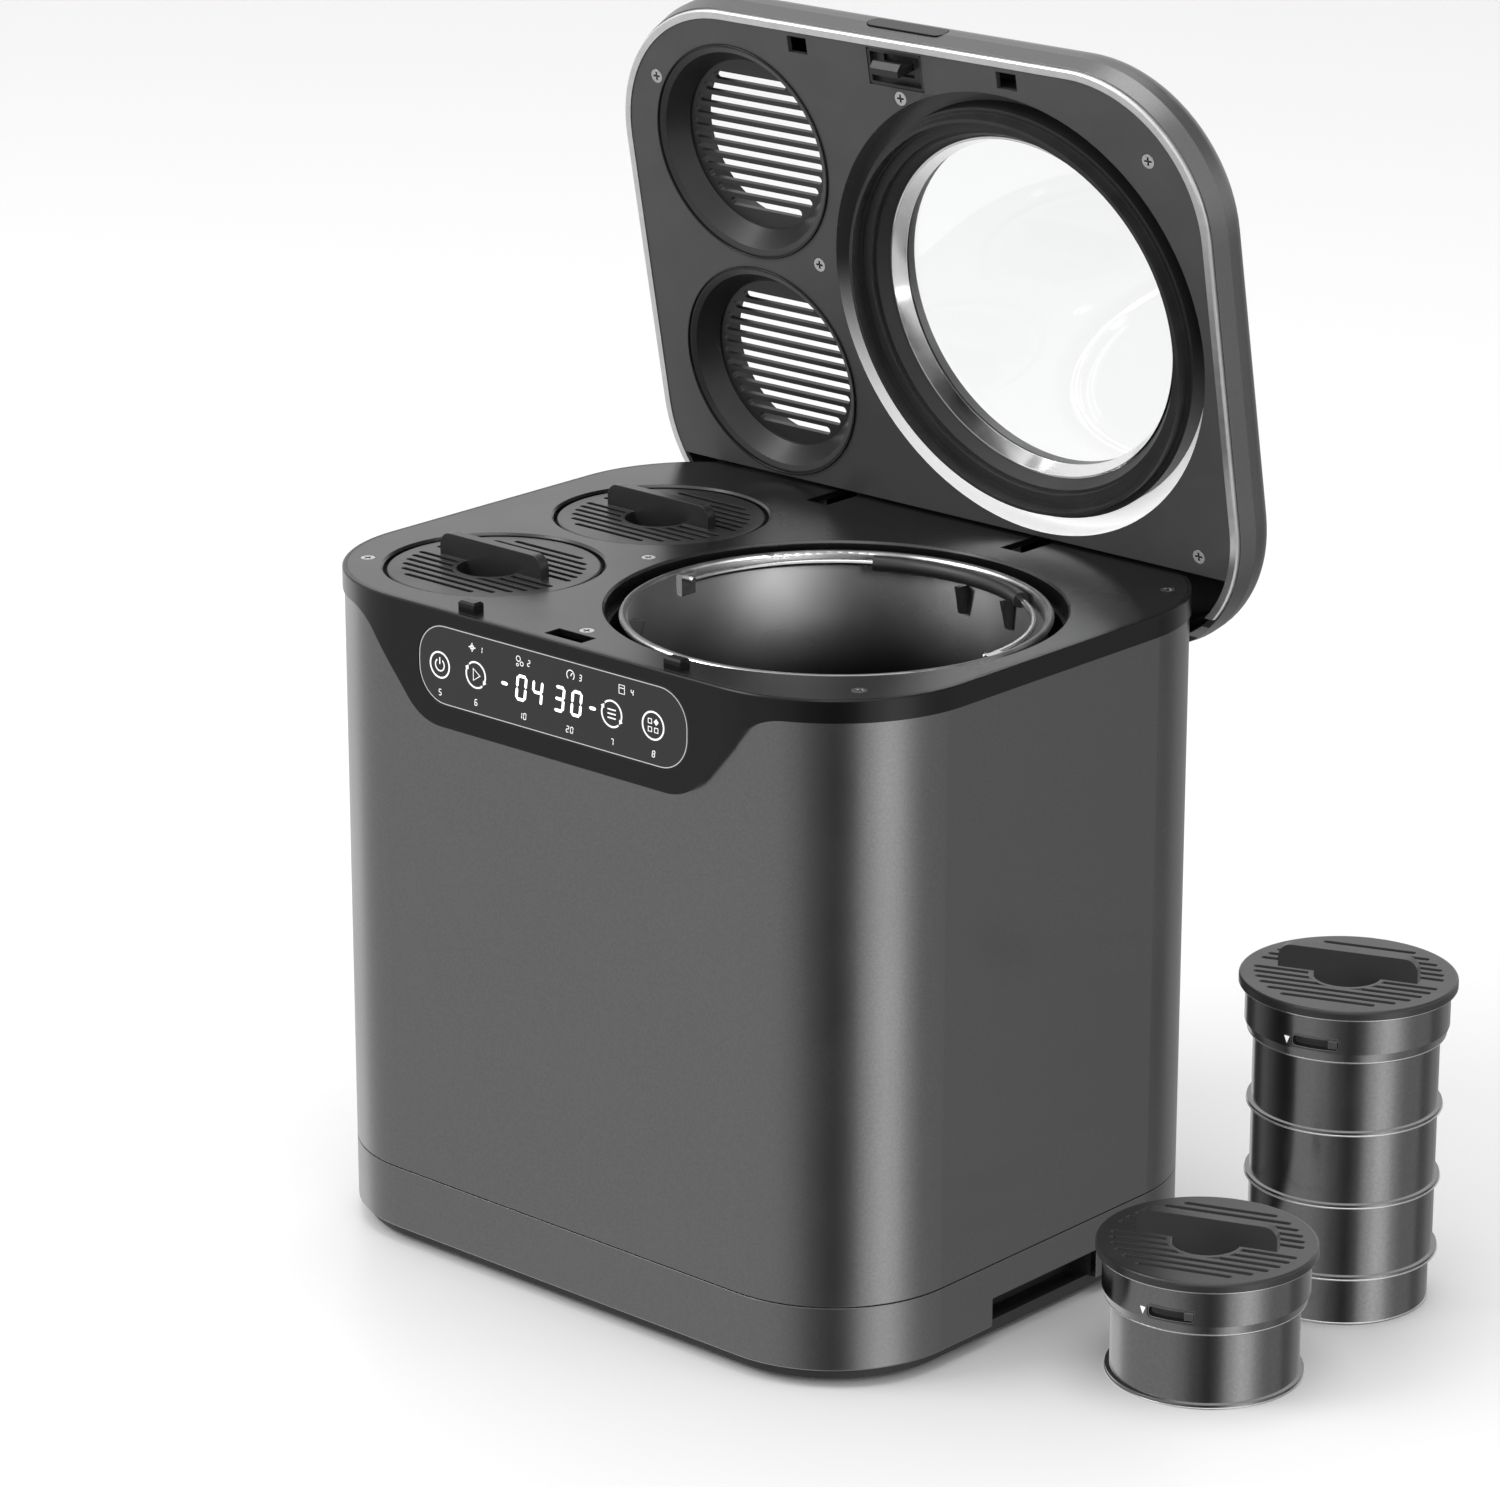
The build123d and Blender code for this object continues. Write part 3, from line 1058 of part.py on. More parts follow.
DUCT_BASE_TOP = DUCT_BASE_Z + DUCT_DOOR_H
FAN_MOTOR_Z = BLOWER_Z - FAN_MOTOR_H
with BuildPart() as blower_housing:
    disc(BLOWER_AT, BLOWER_R, BLOWER_Z, PLENUM_Z)
    disc(BLOWER_AT, FAN_MOTOR_R, FAN_MOTOR_Z, BLOWER_Z)
    drum_z = (BLOWER_Z + BLOWER_WALL, PLENUM_Z - BLOWER_WALL)
    disc(BLOWER_AT, BLOWER_R - BLOWER_WALL, *drum_z, mode=Mode.SUBTRACT)
    disc(BLOWER_AT, BLOWER_PORT_R, PLENUM_Z - BLOWER_WALL, PLENUM_Z, mode=Mode.SUBTRACT)
    shaft_hole_z = (FAN_MOTOR_Z + BLOWER_WALL, BLOWER_Z + BLOWER_WALL)
    disc(BLOWER_AT, FAN_SHAFT_R + RUN_FIT, *shaft_hole_z, mode=Mode.SUBTRACT)
    block(
        around(FILTER_X, DUCT_W / 2 - DUCT_WALL),
        (BLOWER_Y + BLOWER_R / 2, BLOWER_Y + BLOWER_R + 1),
        (DUCT_BASE_Z + DUCT_WALL, DUCT_BASE_TOP - DUCT_WALL),
        mode=Mode.SUBTRACT,
    )
    for leg_x in (-BLOWER_LEG_X, BLOWER_LEG_X):
        for leg_y in (-BLOWER_LEG_Y, BLOWER_LEG_Y):
            disc((FILTER_X + leg_x, BLOWER_Y + leg_y), POST_R, TRAY_FLOOR_TOP, BLOWER_Z)
save(blower_housing.part, "blower_housing")

with BuildPart() as blower_impeller:
    fan_foot = BLOWER_Z + 2 * BLOWER_WALL
    disc(BLOWER_AT, IMPELLER_R, fan_foot, fan_foot + BLOWER_WALL)
    disc(BLOWER_AT, 3 * FAN_SHAFT_R, fan_foot, fan_foot + IMPELLER_H / 2)
    disc(BLOWER_AT, FAN_SHAFT_R, shaft_hole_z[0] + 1, fan_foot)
    with Locations((FILTER_X, BLOWER_Y, fan_foot + IMPELLER_H / 2)):
        with PolarLocations(IMPELLER_R * 0.8, IMPELLER_BLADES):
            Box(IMPELLER_R * 0.3, FAN_BLADE_T, IMPELLER_H, rotation=(0, 0, FAN_BLADE_ANGLE))
save(blower_impeller.part, "blower_impeller")

DUCT_Y_SPAN = around(DUCT_Y, DUCT_D / 2)
with BuildPart() as air_duct:
    for wall, mode in ((0, Mode.ADD), (DUCT_WALL, Mode.SUBTRACT)):
        riser_x = around(BUCKET_X, DUCT_W / 2 - wall)
        branch_x = around(FILTER_X, DUCT_W / 2 - wall)
        rear_y = (DUCT_Y_SPAN[0] + wall, DUCT_Y_SPAN[1] - wall)
        door_z = (DUCT_TOP_Z - DUCT_DOOR_H + wall, DUCT_TOP_Z - wall)
        low_z = (DUCT_BASE_Z + wall, DUCT_BASE_TOP - wall)
        block(riser_x, rear_y, (low_z[0], door_z[1]), mode=mode)
        block((branch_x[0], riser_x[1]), rear_y, low_z, mode=mode)
        block(riser_x, (BUCKET_Y, rear_y[1]), door_z, mode=mode)
        block(branch_x, (BLOWER_Y, rear_y[1]), low_z, mode=mode)
    disc(BUCKET_AT, CHAMBER_R + CHAMBER_WALL, DUCT_TOP_Z - DUCT_DOOR_H, DUCT_TOP_Z, mode=Mode.SUBTRACT)
    disc(BLOWER_AT, BLOWER_R, DUCT_BASE_Z, DUCT_BASE_TOP, mode=Mode.SUBTRACT)
save(air_duct.part, "air_duct")

# ---------------------------------------------------------------- boards and mains inlet

def posts(width, depth):
    """The four post places of a board, counted from its middle."""
    half_w = width / 2 - POST_INSET
    half_d = depth / 2 - POST_INSET
    return [(-half_w, -half_d), (-half_w, half_d), (half_w, -half_d), (half_w, half_d)]


with BuildPart() as control_board:
    board_y = BODY_INNER_FRONT + STANDOFF / 2
    board_x = around(CONTROL_BOARD_X, CONTROL_BOARD_W / 2)
    block(board_x, (board_y, board_y + BOARD_T), around(CONTROL_BOARD_Z, CONTROL_BOARD_H / 2))
    for post_x, post_z in posts(CONTROL_BOARD_W, CONTROL_BOARD_H):
        post_span = around(CONTROL_BOARD_X + post_x, STANDOFF_R)
        block(post_span, (BODY_INNER_FRONT, board_y), around(CONTROL_BOARD_Z + post_z, STANDOFF_R))
save(control_board.part, "control_board")

with BuildPart() as power_board:
    board_z = TRAY_FLOOR_TOP + STANDOFF
    board_top = board_z + BOARD_T
    slab(POWER_BOARD_W, POWER_BOARD_D, STANDOFF_R, board_z, board_top, at=POWER_BOARD_AT)
    for post_x, post_y in posts(POWER_BOARD_W, POWER_BOARD_D):
        disc((POWER_BOARD_AT[0] + post_x, POWER_BOARD_AT[1] + post_y), STANDOFF_R, TRAY_FLOOR_TOP, board_z)
    block(
        around(POWER_BOARD_AT[0] - POWER_BOARD_W / 4, TRANSFORMER_W / 2),
        around(POWER_BOARD_AT[1], TRANSFORMER_D / 2),
        (board_top, board_top + TRANSFORMER_H),
    )
    for step in range(3):
        part_x = POWER_BOARD_AT[0] + CAPACITOR_R + 3 * step * CAPACITOR_R
        row_y = POWER_BOARD_D / 6
        disc((part_x, POWER_BOARD_AT[1] + row_y), CAPACITOR_R, board_top, board_top + CAPACITOR_H)
        relay_y = around(POWER_BOARD_AT[1] - row_y, CAPACITOR_R)
        block(around(part_x, CAPACITOR_R), relay_y, (board_top, board_top + CAPACITOR_H / 2))
save(power_board.part, "power_board")

with BuildPart() as power_inlet:
    inlet_back = BODY_D / 2 - INLET_DEPTH
    inlet_face = BODY_D / 2 + INLET_LIP
    body_x = around(INLET_X, INLET_W / 2 - FIT)
    block(body_x, (inlet_back, BODY_D / 2), around(INLET_Z, INLET_H / 2 - FIT))
    lip_x = around(INLET_X, INLET_W / 2 + INLET_LIP)
    block(lip_x, (BODY_D / 2, inlet_face), around(INLET_Z, INLET_H / 2 + INLET_LIP))
    socket_x = around(INLET_X, INLET_W / 2 - INLET_WALL)
    socket_z = around(INLET_Z, INLET_H / 2 - INLET_WALL)
    block(socket_x, (inlet_back + INLET_BACK, inlet_face), socket_z, mode=Mode.SUBTRACT)
    for step in (-1, 0, 1):
        pin_x = around(INLET_X + step * INLET_PIN_GAP, INLET_PIN_HALF_T)
        pin_z = around(INLET_Z + INLET_PIN_HALF_H * (1 - abs(step)), INLET_PIN_HALF_H)
        block(pin_x, (inlet_back + INLET_BACK, BODY_D / 2 - INLET_PIN_INSET), pin_z)
save(power_inlet.part, "power_inlet")

# ---------------------------------------------------------------- lid hinge

with BuildPart() as hinge_brackets:
    for arm_x in (-ARM_X, ARM_X):
        for side in (-1, 1):
            cheek_x = around(arm_x + side * (SLOT_HALF + CHEEK_T / 2), CHEEK_T / 2)
            block(cheek_x, around(HINGE_Y, CHEEK_HALF_W), (HINGE_Z - CHEEK_HALF_W, PLATE_Z))
    with BuildSketch(Plane(origin=(0, HINGE_Y, HINGE_Z), x_dir=(0, 1, 0), z_dir=(1, 0, 0))):
        Circle(PIN_R)
    extrude(amount=DECK_W / 2, both=True, mode=Mode.SUBTRACT)
save(hinge_brackets.part, "hinge_brackets")

with BuildPart() as hinge_pin:
    with BuildSketch(Plane(origin=(0, HINGE_Y, HINGE_Z), x_dir=(0, 1, 0), z_dir=(1, 0, 0))):
        Circle(PIN_R)
    extrude(amount=ARM_X + SLOT_HALF + 2 * CHEEK_T, both=True)
save(hinge_pin.part, "hinge_pin")

with BuildPart() as hinge_arms:
    arm_y = around(HINGE_Y, ARM_W / 2)
    for arm_x in (-ARM_X, ARM_X):
        arm_span = around(arm_x, ARM_HALF)
        block(arm_span, arm_y, (HINGE_Z, LID_SKIN_Z))
        pad_y = (arm_y[0] - ARM_PAD_REACH, arm_y[1] + 2 * ARM_PAD_REACH)
        block(arm_span, pad_y, (LID_SKIN_Z - ARM_PAD_T, LID_SKIN_Z))
        with BuildSketch(Plane(origin=(arm_x, HINGE_Y, HINGE_Z), x_dir=(0, 1, 0), z_dir=(1, 0, 0))):
            Circle(ARM_W * 0.8)
        extrude(amount=ARM_HALF, both=True)
    with BuildSketch(Plane(origin=(0, HINGE_Y, HINGE_Z), x_dir=(0, 1, 0), z_dir=(1, 0, 0))):
        Circle(PIN_R + RUN_FIT)
    extrude(amount=DECK_W / 2, both=True, mode=Mode.SUBTRACT)
save(opened(hinge_arms.part), "hinge_arms")

# ---------------------------------------------------------------- lid

SIDE_Z = LID_BOTTOM + TRIM_H
BULGE_Z = LID_BOTTOM + LID_BULGE_RISE
BULGE_PLAN = (LID_W + 2 * LID_BULGE, LID_D + 2 * LID_BULGE, LID_R + LID_BULGE)
REAR_CUT_Y = HINGE_Y + REAR_CUT_START
REAR_CUT_END = LID_REAR + LID_BULGE + CUT_PAST
REAR_CUT = [
    (REAR_CUT_Y, LID_BOTTOM - CUT_PAST),
    (REAR_CUT_Y, LID_BOTTOM),
    (REAR_CUT_Y + REAR_CUT_RUN, LID_BOTTOM + LID_REAR_RISE),
    (REAR_CUT_END, LID_BOTTOM + LID_REAR_RISE),
    (REAR_CUT_END, LID_BOTTOM - CUT_PAST),
]
BUTTON_Z = BULGE_Z + BUTTON_RISE
BUTTON_FACE = LID_FRONT - LID_BULGE
SEAT_R = GLASS_R + GLASS_SEAT_W
GLASS_TOP_R = GLASS_SEE_R + GLASS_FRAME_W
BEZEL_Z = LID_BOTTOM + BEZEL_RISE
SHELF_Z = BEZEL_Z + BEZEL_DEPTH
BEZEL_TOP = SHELF_Z + BEZEL_RING_T
GLASS_Z = BEZEL_TOP + FIT
SLEEVE_R = GRILLE_R + SLEEVE_T

with BuildPart() as lid_shell:
    bulge_taper = -degrees(atan2(LID_BULGE, BULGE_Z - SIDE_Z))
    slab(LID_W, LID_D, LID_R, SIDE_Z, BULGE_Z, at=LID_CENTRE, taper=bulge_taper)
    inset_slab(BULGE_PLAN, 0, BULGE_Z, LID_TOP, at=LID_CENTRE)
    fillet(lid_shell.faces().sort_by(Axis.Z)[-1].edges(), LID_EDGE_R)
    inset_slab(LID_PLAN, LID_WALL, SIDE_Z, LID_SKIN_Z - LID_EDGE_R / 2, mode=Mode.SUBTRACT, at=LID_CENTRE)
    inset_slab(LID_PLAN, 2 * LID_WALL, SIDE_Z, LID_SKIN_Z, mode=Mode.SUBTRACT, at=LID_CENTRE)
    tube(BUCKET_AT, SEAT_R, GLASS_TOP_R, GLASS_Z + GLASS_T + FIT, LID_TOP)
    disc(BUCKET_AT, GLASS_TOP_R, SIDE_Z, LID_TOP, mode=Mode.SUBTRACT)
    for spot in FILTER_SPOTS.values():
        disc(spot, SLEEVE_R + FIT, SIDE_Z, LID_TOP, mode=Mode.SUBTRACT)
    with BuildSketch(Plane(origin=(LATCH_X, LID_FRONT, BUTTON_Z), x_dir=(1, 0, 0), z_dir=(0, -1, 0))):
        RectangleRounded(BUTTON_W + 2 * BUTTON_GAP, BUTTON_H + 2 * BUTTON_GAP, BUTTON_H / 2)
    extrude(amount=LID_WALL + 1, both=True, mode=Mode.SUBTRACT)
    side_prism(REAR_CUT, -LID_W, LID_W, mode=Mode.SUBTRACT)
save(opened(lid_shell.part), "lid_shell")

with BuildPart() as lid_rim_trim:
    inset_slab(LID_PLAN, TRIM_INSET, LID_BOTTOM, SIDE_Z, at=LID_CENTRE)
    chamfer(lid_rim_trim.faces().sort_by(Axis.Z)[0].edges(), TRIM_BREAK)
    inset_slab(LID_PLAN, TRIM_INSET + TRIM_W, LID_BOTTOM, SIDE_Z, mode=Mode.SUBTRACT, at=LID_CENTRE)
    trim_end = HINGE_Y + TRIM_END_REACH
    block((-LID_W, LID_W), (trim_end, LID_REAR + CUT_PAST), (LID_BOTTOM, SIDE_Z), mode=Mode.SUBTRACT)
save(opened(lid_rim_trim.part), "lid_rim_trim")

PANEL_PLAN_INSET = TRIM_INSET + TRIM_W + FIT
GROOVE_TOP = SHELF_Z + 2 * FIT
with BuildPart() as lid_inner_panel:
    panel_top = LID_PANEL_Z + LID_PANEL_T
    inset_slab(LID_PLAN, PANEL_PLAN_INSET, LID_PANEL_Z, panel_top, at=LID_CENTRE)
    panel_cut_y = (LID_PANEL_REAR_Y, LID_REAR + CUT_PAST)
    block((-LID_W, LID_W), panel_cut_y, (LID_PANEL_Z, panel_top), mode=Mode.SUBTRACT)
    flange_half = LID_W / 2 - PANEL_PLAN_INSET - PANEL_FLANGE_SIDE
    flange_y = (LID_PANEL_REAR_Y - PANEL_FLANGE_T, LID_PANEL_REAR_Y)
    block((-flange_half, flange_half), flange_y, (LID_PANEL_Z, LID_SKIN_Z - PANEL_FLANGE_GAP))
    groove_floor = GROOVE_TOP - GROOVE_FLOOR_T
    disc(BUCKET_AT, WINDOW_R + GROOVE_WALL, panel_top, GROOVE_TOP)
    disc(BUCKET_AT, WINDOW_R, LID_PANEL_Z, groove_floor, mode=Mode.SUBTRACT)
    disc(BUCKET_AT, RING_R + FIT, groove_floor, GROOVE_TOP, mode=Mode.SUBTRACT)
    for spot in FILTER_SPOTS.values():
        disc(spot, WELL_MOUTH_R + FIT, LID_PANEL_Z, panel_top, mode=Mode.SUBTRACT)
    block(
        around(LATCH_X, LATCH_PLATE_W / 2 + FIT),
        around(LATCH_PLATE_Y, LATCH_PLATE_D / 2 + FIT),
        (LID_PANEL_Z, panel_top),
        mode=Mode.SUBTRACT,
    )
    for peg_x in PEG_XS:
        block(
            around(peg_x, PEG_W / 2 + PEG_SOCKET_FIT),
            around(PEG_Y, PEG_D / 2 + PEG_SOCKET_FIT),
            (LID_PANEL_Z, panel_top),
            mode=Mode.SUBTRACT,
        )
    screw_holes(LID_SCREWS, LID_PANEL_Z, -1, LID_PANEL_T)
save(opened(lid_inner_panel.part), "lid_inner_panel")

with BuildPart() as window_carrier:
    carrier_face = LID_BOTTOM + RING_FACE_RISE
    face_inner_r = RING_R - RING_FACE_W
    lathe(
        BUCKET_AT,
        [
            (face_inner_r, carrier_face),
            (RING_R, carrier_face),
            (RING_R, GLASS_Z + GLASS_T),
            (SEAT_R, GLASS_Z + GLASS_T),
            (SEAT_R, SHELF_Z),
            (BEZEL_LIP_R + BEZEL_WALL, SHELF_Z),
            (BEZEL_LIP_R + BEZEL_WALL, BEZEL_Z),
            (face_inner_r - RING_LIP_W, carrier_face + RING_FACE_T),
            (face_inner_r, carrier_face + RING_FACE_T),
        ],
    )
save(opened(window_carrier.part), "window_carrier")

with BuildPart() as window_bezel:
    lathe(
        BUCKET_AT,
        [
            (BEZEL_LIP_R, BEZEL_Z),
            (BEZEL_LIP_R + BEZEL_WALL - FIT, BEZEL_Z),
            (BEZEL_LIP_R + BEZEL_WALL - FIT, SHELF_Z + FIT),
            (GLASS_R, SHELF_Z + FIT),
            (GLASS_R, BEZEL_TOP),
            (GLASS_SEE_R, BEZEL_TOP),
        ],
    )
save(opened(window_bezel.part), "window_bezel")

with BuildPart() as window_glass:
    disc(BUCKET_AT, GLASS_R, GLASS_Z, GLASS_Z + GLASS_T)
save(opened(window_glass.part), "window_glass")

with BuildPart() as lid_seal:
    bead_mid_r = BUCKET_R + BUCKET_WALL + BEAD_R / 2
    lathe(
        BUCKET_AT,
        [
            (bead_mid_r - SEAL_HALF_W, carrier_face),
            (bead_mid_r + SEAL_HALF_W, carrier_face),
            (bead_mid_r + SEAL_HALF_W, carrier_face - SEAL_BASE_T),
            (bead_mid_r + SEAL_LIP_ROOT, carrier_face - SEAL_BASE_T),
            (bead_mid_r + SEAL_LIP_TIP, BUCKET_TOP + 2 * FIT),
            (bead_mid_r - SEAL_LIP_TIP, BUCKET_TOP + 2 * FIT),
            (bead_mid_r - SEAL_LIP_ROOT, carrier_face - SEAL_BASE_T),
            (bead_mid_r - SEAL_HALF_W, carrier_face - SEAL_BASE_T),
        ],
    )
save(opened(lid_seal.part), "lid_seal")

for place, spot in FILTER_SPOTS.items():
    with BuildPart() as lid_grille:
        lathe(
            spot,
            [
                (WELL_MOUTH_R, LID_PANEL_Z),
                (WELL_MOUTH_R, LID_PANEL_Z + SLEEVE_FLANGE_T),
                (SLEEVE_R, GRILLE_Z - SLEEVE_FLANGE_T),
                (SLEEVE_R, LID_TOP),
                (GRILLE_R, LID_TOP),
                (GRILLE_R, GRILLE_Z - SLEEVE_FLANGE_T),
                (WELL_MOUTH_R - SLEEVE_NECK_W, LID_PANEL_Z + SLEEVE_FLANGE_T),
                (WELL_MOUTH_R - GRILLE_RIM_W, LID_PANEL_Z),
            ],
        )
        disc(spot, GRILLE_R, GRILLE_Z, GRILLE_Z + GRILLE_T)
        slots(spot, GRILLE_R - GRILLE_RIM_W, GRILLE_SLOT_W, GRILLE_PITCH, GRILLE_Z, GRILLE_Z + GRILLE_T)
    save(opened(lid_grille.part), place + "_lid_grille")

with BuildPart() as lid_screws:
    screws(LID_SCREWS, LID_PANEL_Z, -1)
save(opened(lid_screws.part), "lid_screws")

with BuildPart() as latch_plate:
    recess_z = LID_PANEL_Z + PLATE_RECESS
    plate_plan = (LATCH_PLATE_W, LATCH_PLATE_D, LATCH_PLATE_R)
    plate_at = (LATCH_X, LATCH_PLATE_Y)
    inset_slab(plate_plan, 0, LID_PANEL_Z + 2 * FIT, recess_z + PLATE_T, at=plate_at)
    inset_slab(plate_plan, PLATE_T, LID_PANEL_Z + 2 * FIT, recess_z, mode=Mode.SUBTRACT, at=plate_at)
    hook_way_front = LATCH_Y - HOOK_T / 2 - HOOK_TOE - HOOK_WAY
    hook_way_y = (hook_way_front, LATCH_Y + HOOK_T / 2 + LATCH_TRAVEL + HOOK_WAY)
    hook_way_x = around(LATCH_X, HOOK_W / 2 + EASY_FIT)
    block(hook_way_x, hook_way_y, (recess_z, recess_z + PLATE_T), mode=Mode.SUBTRACT)
save(opened(latch_plate.part), "latch_plate")

with BuildPart() as latch_hook:
    hook_foot = LID_PANEL_Z - HOOK_REACH
    carriage_z = recess_z + PLATE_T + FIT
    carriage_top = carriage_z + CARRIAGE_T
    block(around(LATCH_X, HOOK_W / 2), around(LATCH_Y, HOOK_T / 2), (hook_foot, carriage_top))
    toe_y = LATCH_Y - HOOK_T / 2 - HOOK_TOE
    toe_z = hook_foot + TOE_RISE
    side_prism(
        [
            (LATCH_Y, hook_foot),
            (LATCH_Y - HOOK_T / 2, hook_foot),
            (toe_y, toe_z),
            (toe_y, toe_z + TOE_EDGE),
            (LATCH_Y, toe_z + TOE_EDGE),
        ],
        LATCH_X - HOOK_W / 2,
        LATCH_X + HOOK_W / 2,
    )
    wall_face = LID_FRONT + LID_WALL + FIT
    carriage_y = (wall_face, LATCH_Y + HOOK_T / 2 + CARRIAGE_REACH)
    block(around(LATCH_X, HOOK_W / 2 + CARRIAGE_SIDE), carriage_y, (carriage_z, carriage_top))
    riser_y = (wall_face, wall_face + RISER_T)
    block(around(LATCH_X, HOOK_W / 2), riser_y, (carriage_z, BUTTON_Z + BUTTON_H / 3))
save(opened(latch_hook.part), "latch_hook")

with BuildPart() as release_button:
    with BuildSketch(Plane(origin=(LATCH_X, BUTTON_FACE, BUTTON_Z), x_dir=(1, 0, 0), z_dir=(0, -1, 0))):
        RectangleRounded(BUTTON_W, BUTTON_H, BUTTON_H / 2 - BUTTON_GAP)
    extrude(amount=-BUTTON_T)
    block(
        around(LATCH_X, HOOK_W / 2),
        (BUTTON_FACE + BUTTON_T, LID_FRONT + LID_WALL),
        around(BUTTON_Z, BUTTON_H / 3),
    )
save(opened(release_button.part), "release_button")
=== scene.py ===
"""Looks of the electric food waste composter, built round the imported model."""
import json
import math

import bmesh
import bpy
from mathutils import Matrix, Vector


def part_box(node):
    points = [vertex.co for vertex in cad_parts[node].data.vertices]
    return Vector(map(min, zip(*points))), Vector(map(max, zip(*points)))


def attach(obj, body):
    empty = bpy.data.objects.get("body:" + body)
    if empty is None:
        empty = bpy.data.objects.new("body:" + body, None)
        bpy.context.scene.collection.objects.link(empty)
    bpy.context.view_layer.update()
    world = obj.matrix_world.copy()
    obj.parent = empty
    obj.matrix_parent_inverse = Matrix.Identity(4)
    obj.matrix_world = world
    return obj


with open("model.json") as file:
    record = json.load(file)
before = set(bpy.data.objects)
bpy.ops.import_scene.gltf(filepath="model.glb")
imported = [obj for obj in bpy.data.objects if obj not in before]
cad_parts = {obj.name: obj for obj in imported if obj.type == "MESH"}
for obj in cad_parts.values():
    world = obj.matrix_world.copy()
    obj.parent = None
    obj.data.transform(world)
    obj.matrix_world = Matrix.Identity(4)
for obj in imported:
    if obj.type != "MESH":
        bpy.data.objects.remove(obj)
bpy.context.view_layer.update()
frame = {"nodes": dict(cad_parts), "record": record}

NODES = frame["nodes"]
MM = 0.001
WHITE = (1, 1, 1, 1)


# ---------------------------------------------------------------- shader nodes

def map_range(tree, value, source, target=(0.0, 1.0), smooth=False):
    """A value taken from one range to another."""
    span = tree.nodes.new("ShaderNodeMapRange")
    if smooth:
        span.interpolation_type = "SMOOTHSTEP"
    ends = ("From Min", "From Max", "To Min", "To Max")
    for socket, end in zip(ends, (*source, *target)):
        span.inputs[socket].default_value = end
    tree.links.new(value, span.inputs["Value"])
    return span.outputs["Result"]


def combine(tree, operation, first, second):
    """A maths node's result for two operands, each of them a socket or a number."""
    node = tree.nodes.new("ShaderNodeMath")
    node.operation = operation
    for socket, operand in zip(node.inputs, (first, second)):
        if isinstance(operand, bpy.types.NodeSocket):
            tree.links.new(operand, socket)
        else:
            socket.default_value = operand
    return node.outputs[0]


# ---------------------------------------------------------------- camera, light and floor

CAMERA_AT = (1.57676, -1.74787, 1.00706)
CAMERA_YAW = 42.209
CAMERA_PITCH = 18.263
CAMERA_LENS = 133.03
CAMERA_REACH = 60.0
SENSOR_WIDTH = 36.0


def make_camera():
    """The camera at the photograph's viewpoint."""
    data = bpy.data.cameras.new("camera")
    data.lens = CAMERA_LENS
    data.sensor_width = SENSOR_WIDTH
    data.clip_end = CAMERA_REACH
    camera = bpy.data.objects.new("camera", data)
    camera.location = CAMERA_AT
    camera.rotation_euler = (math.radians(90 - CAMERA_PITCH), 0, math.radians(CAMERA_YAW))
    bpy.context.scene.collection.objects.link(camera)
    bpy.context.scene.camera = camera


# How light the studio is below the horizon: an azimuth in degrees from +X, and a strength.
STUDIO_PANELS = (
    (-180, 1.3), (-170, 0.85), (-155, 0.66), (-136, 0.64), (-95, 0.64), (-80, 0.5), (-66, 0.24),
    (-47, 0.07), (-36, 0.2), (-22, 1.1), (-8, 1.75), (2, 1.5), (14, 0.75), (26, 0.46), (50, 0.46),
    (57, 0.22), (68, 0.26), (84, 0.42), (104, 0.4), (125, 0.45), (150, 0.9), (180, 1.3),
)
PANEL_RANGE = 2.0
DOME_LIGHT = 1.0
HORIZON = (-0.12, 0.02)
# The dark flag in the dome: which way it hangs, and the cosine and the light at its edge and core.
FLAG_TOWARD = (0.34, 0.66, 0.66)
FLAG_COSINES = (0.84, 0.96)
FLAG_LIGHT = (1.0, 0.3)


def make_world():
    """A white dome with a dark flag, and lighter and darker panels round its foot."""
    world = bpy.data.worlds.new("studio")
    bpy.context.scene.world = world
    world.use_nodes = True
    tree = world.node_tree
    direction = tree.nodes.new("ShaderNodeTexCoord").outputs["Generated"]
    way = tree.nodes.new("ShaderNodeSeparateXYZ")
    tree.links.new(direction, way.inputs[0])
    azimuth = combine(tree, "ARCTAN2", way.outputs["Y"], way.outputs["X"])
    ramp = tree.nodes.new("ShaderNodeValToRGB")
    ramp.color_ramp.interpolation = "EASE"
    elements = ramp.color_ramp.elements
    while len(elements) < len(STUDIO_PANELS):
        elements.new(0.5)
    for element, (degrees, light) in zip(elements, STUDIO_PANELS):
        tone = light / PANEL_RANGE
        element.position = (degrees + 180) / 360
        element.color = (tone, tone, tone, 1)
    tree.links.new(map_range(tree, azimuth, (-math.pi, math.pi)), ramp.inputs["Fac"])
    panels = combine(tree, "MULTIPLY", ramp.outputs["Color"], PANEL_RANGE)
    dome = tree.nodes.new("ShaderNodeMix")
    dome.inputs["B"].default_value = DOME_LIGHT
    tree.links.new(map_range(tree, way.outputs["Z"], HORIZON, smooth=True), dome.inputs["Factor"])
    tree.links.new(panels, dome.inputs["A"])
    toward = tree.nodes.new("ShaderNodeVectorMath")
    toward.operation = "DOT_PRODUCT"
    toward.inputs[1].default_value = Vector(FLAG_TOWARD).normalized()
    tree.links.new(direction, toward.inputs[0])
    flag = map_range(tree, toward.outputs["Value"], FLAG_COSINES, FLAG_LIGHT, smooth=True)
    back = tree.nodes["Background"]
    back.inputs["Color"].default_value = WHITE
    shaded = combine(tree, "MULTIPLY", dome.outputs["Result"], flag)
    tree.links.new(shaded, back.inputs["Strength"])


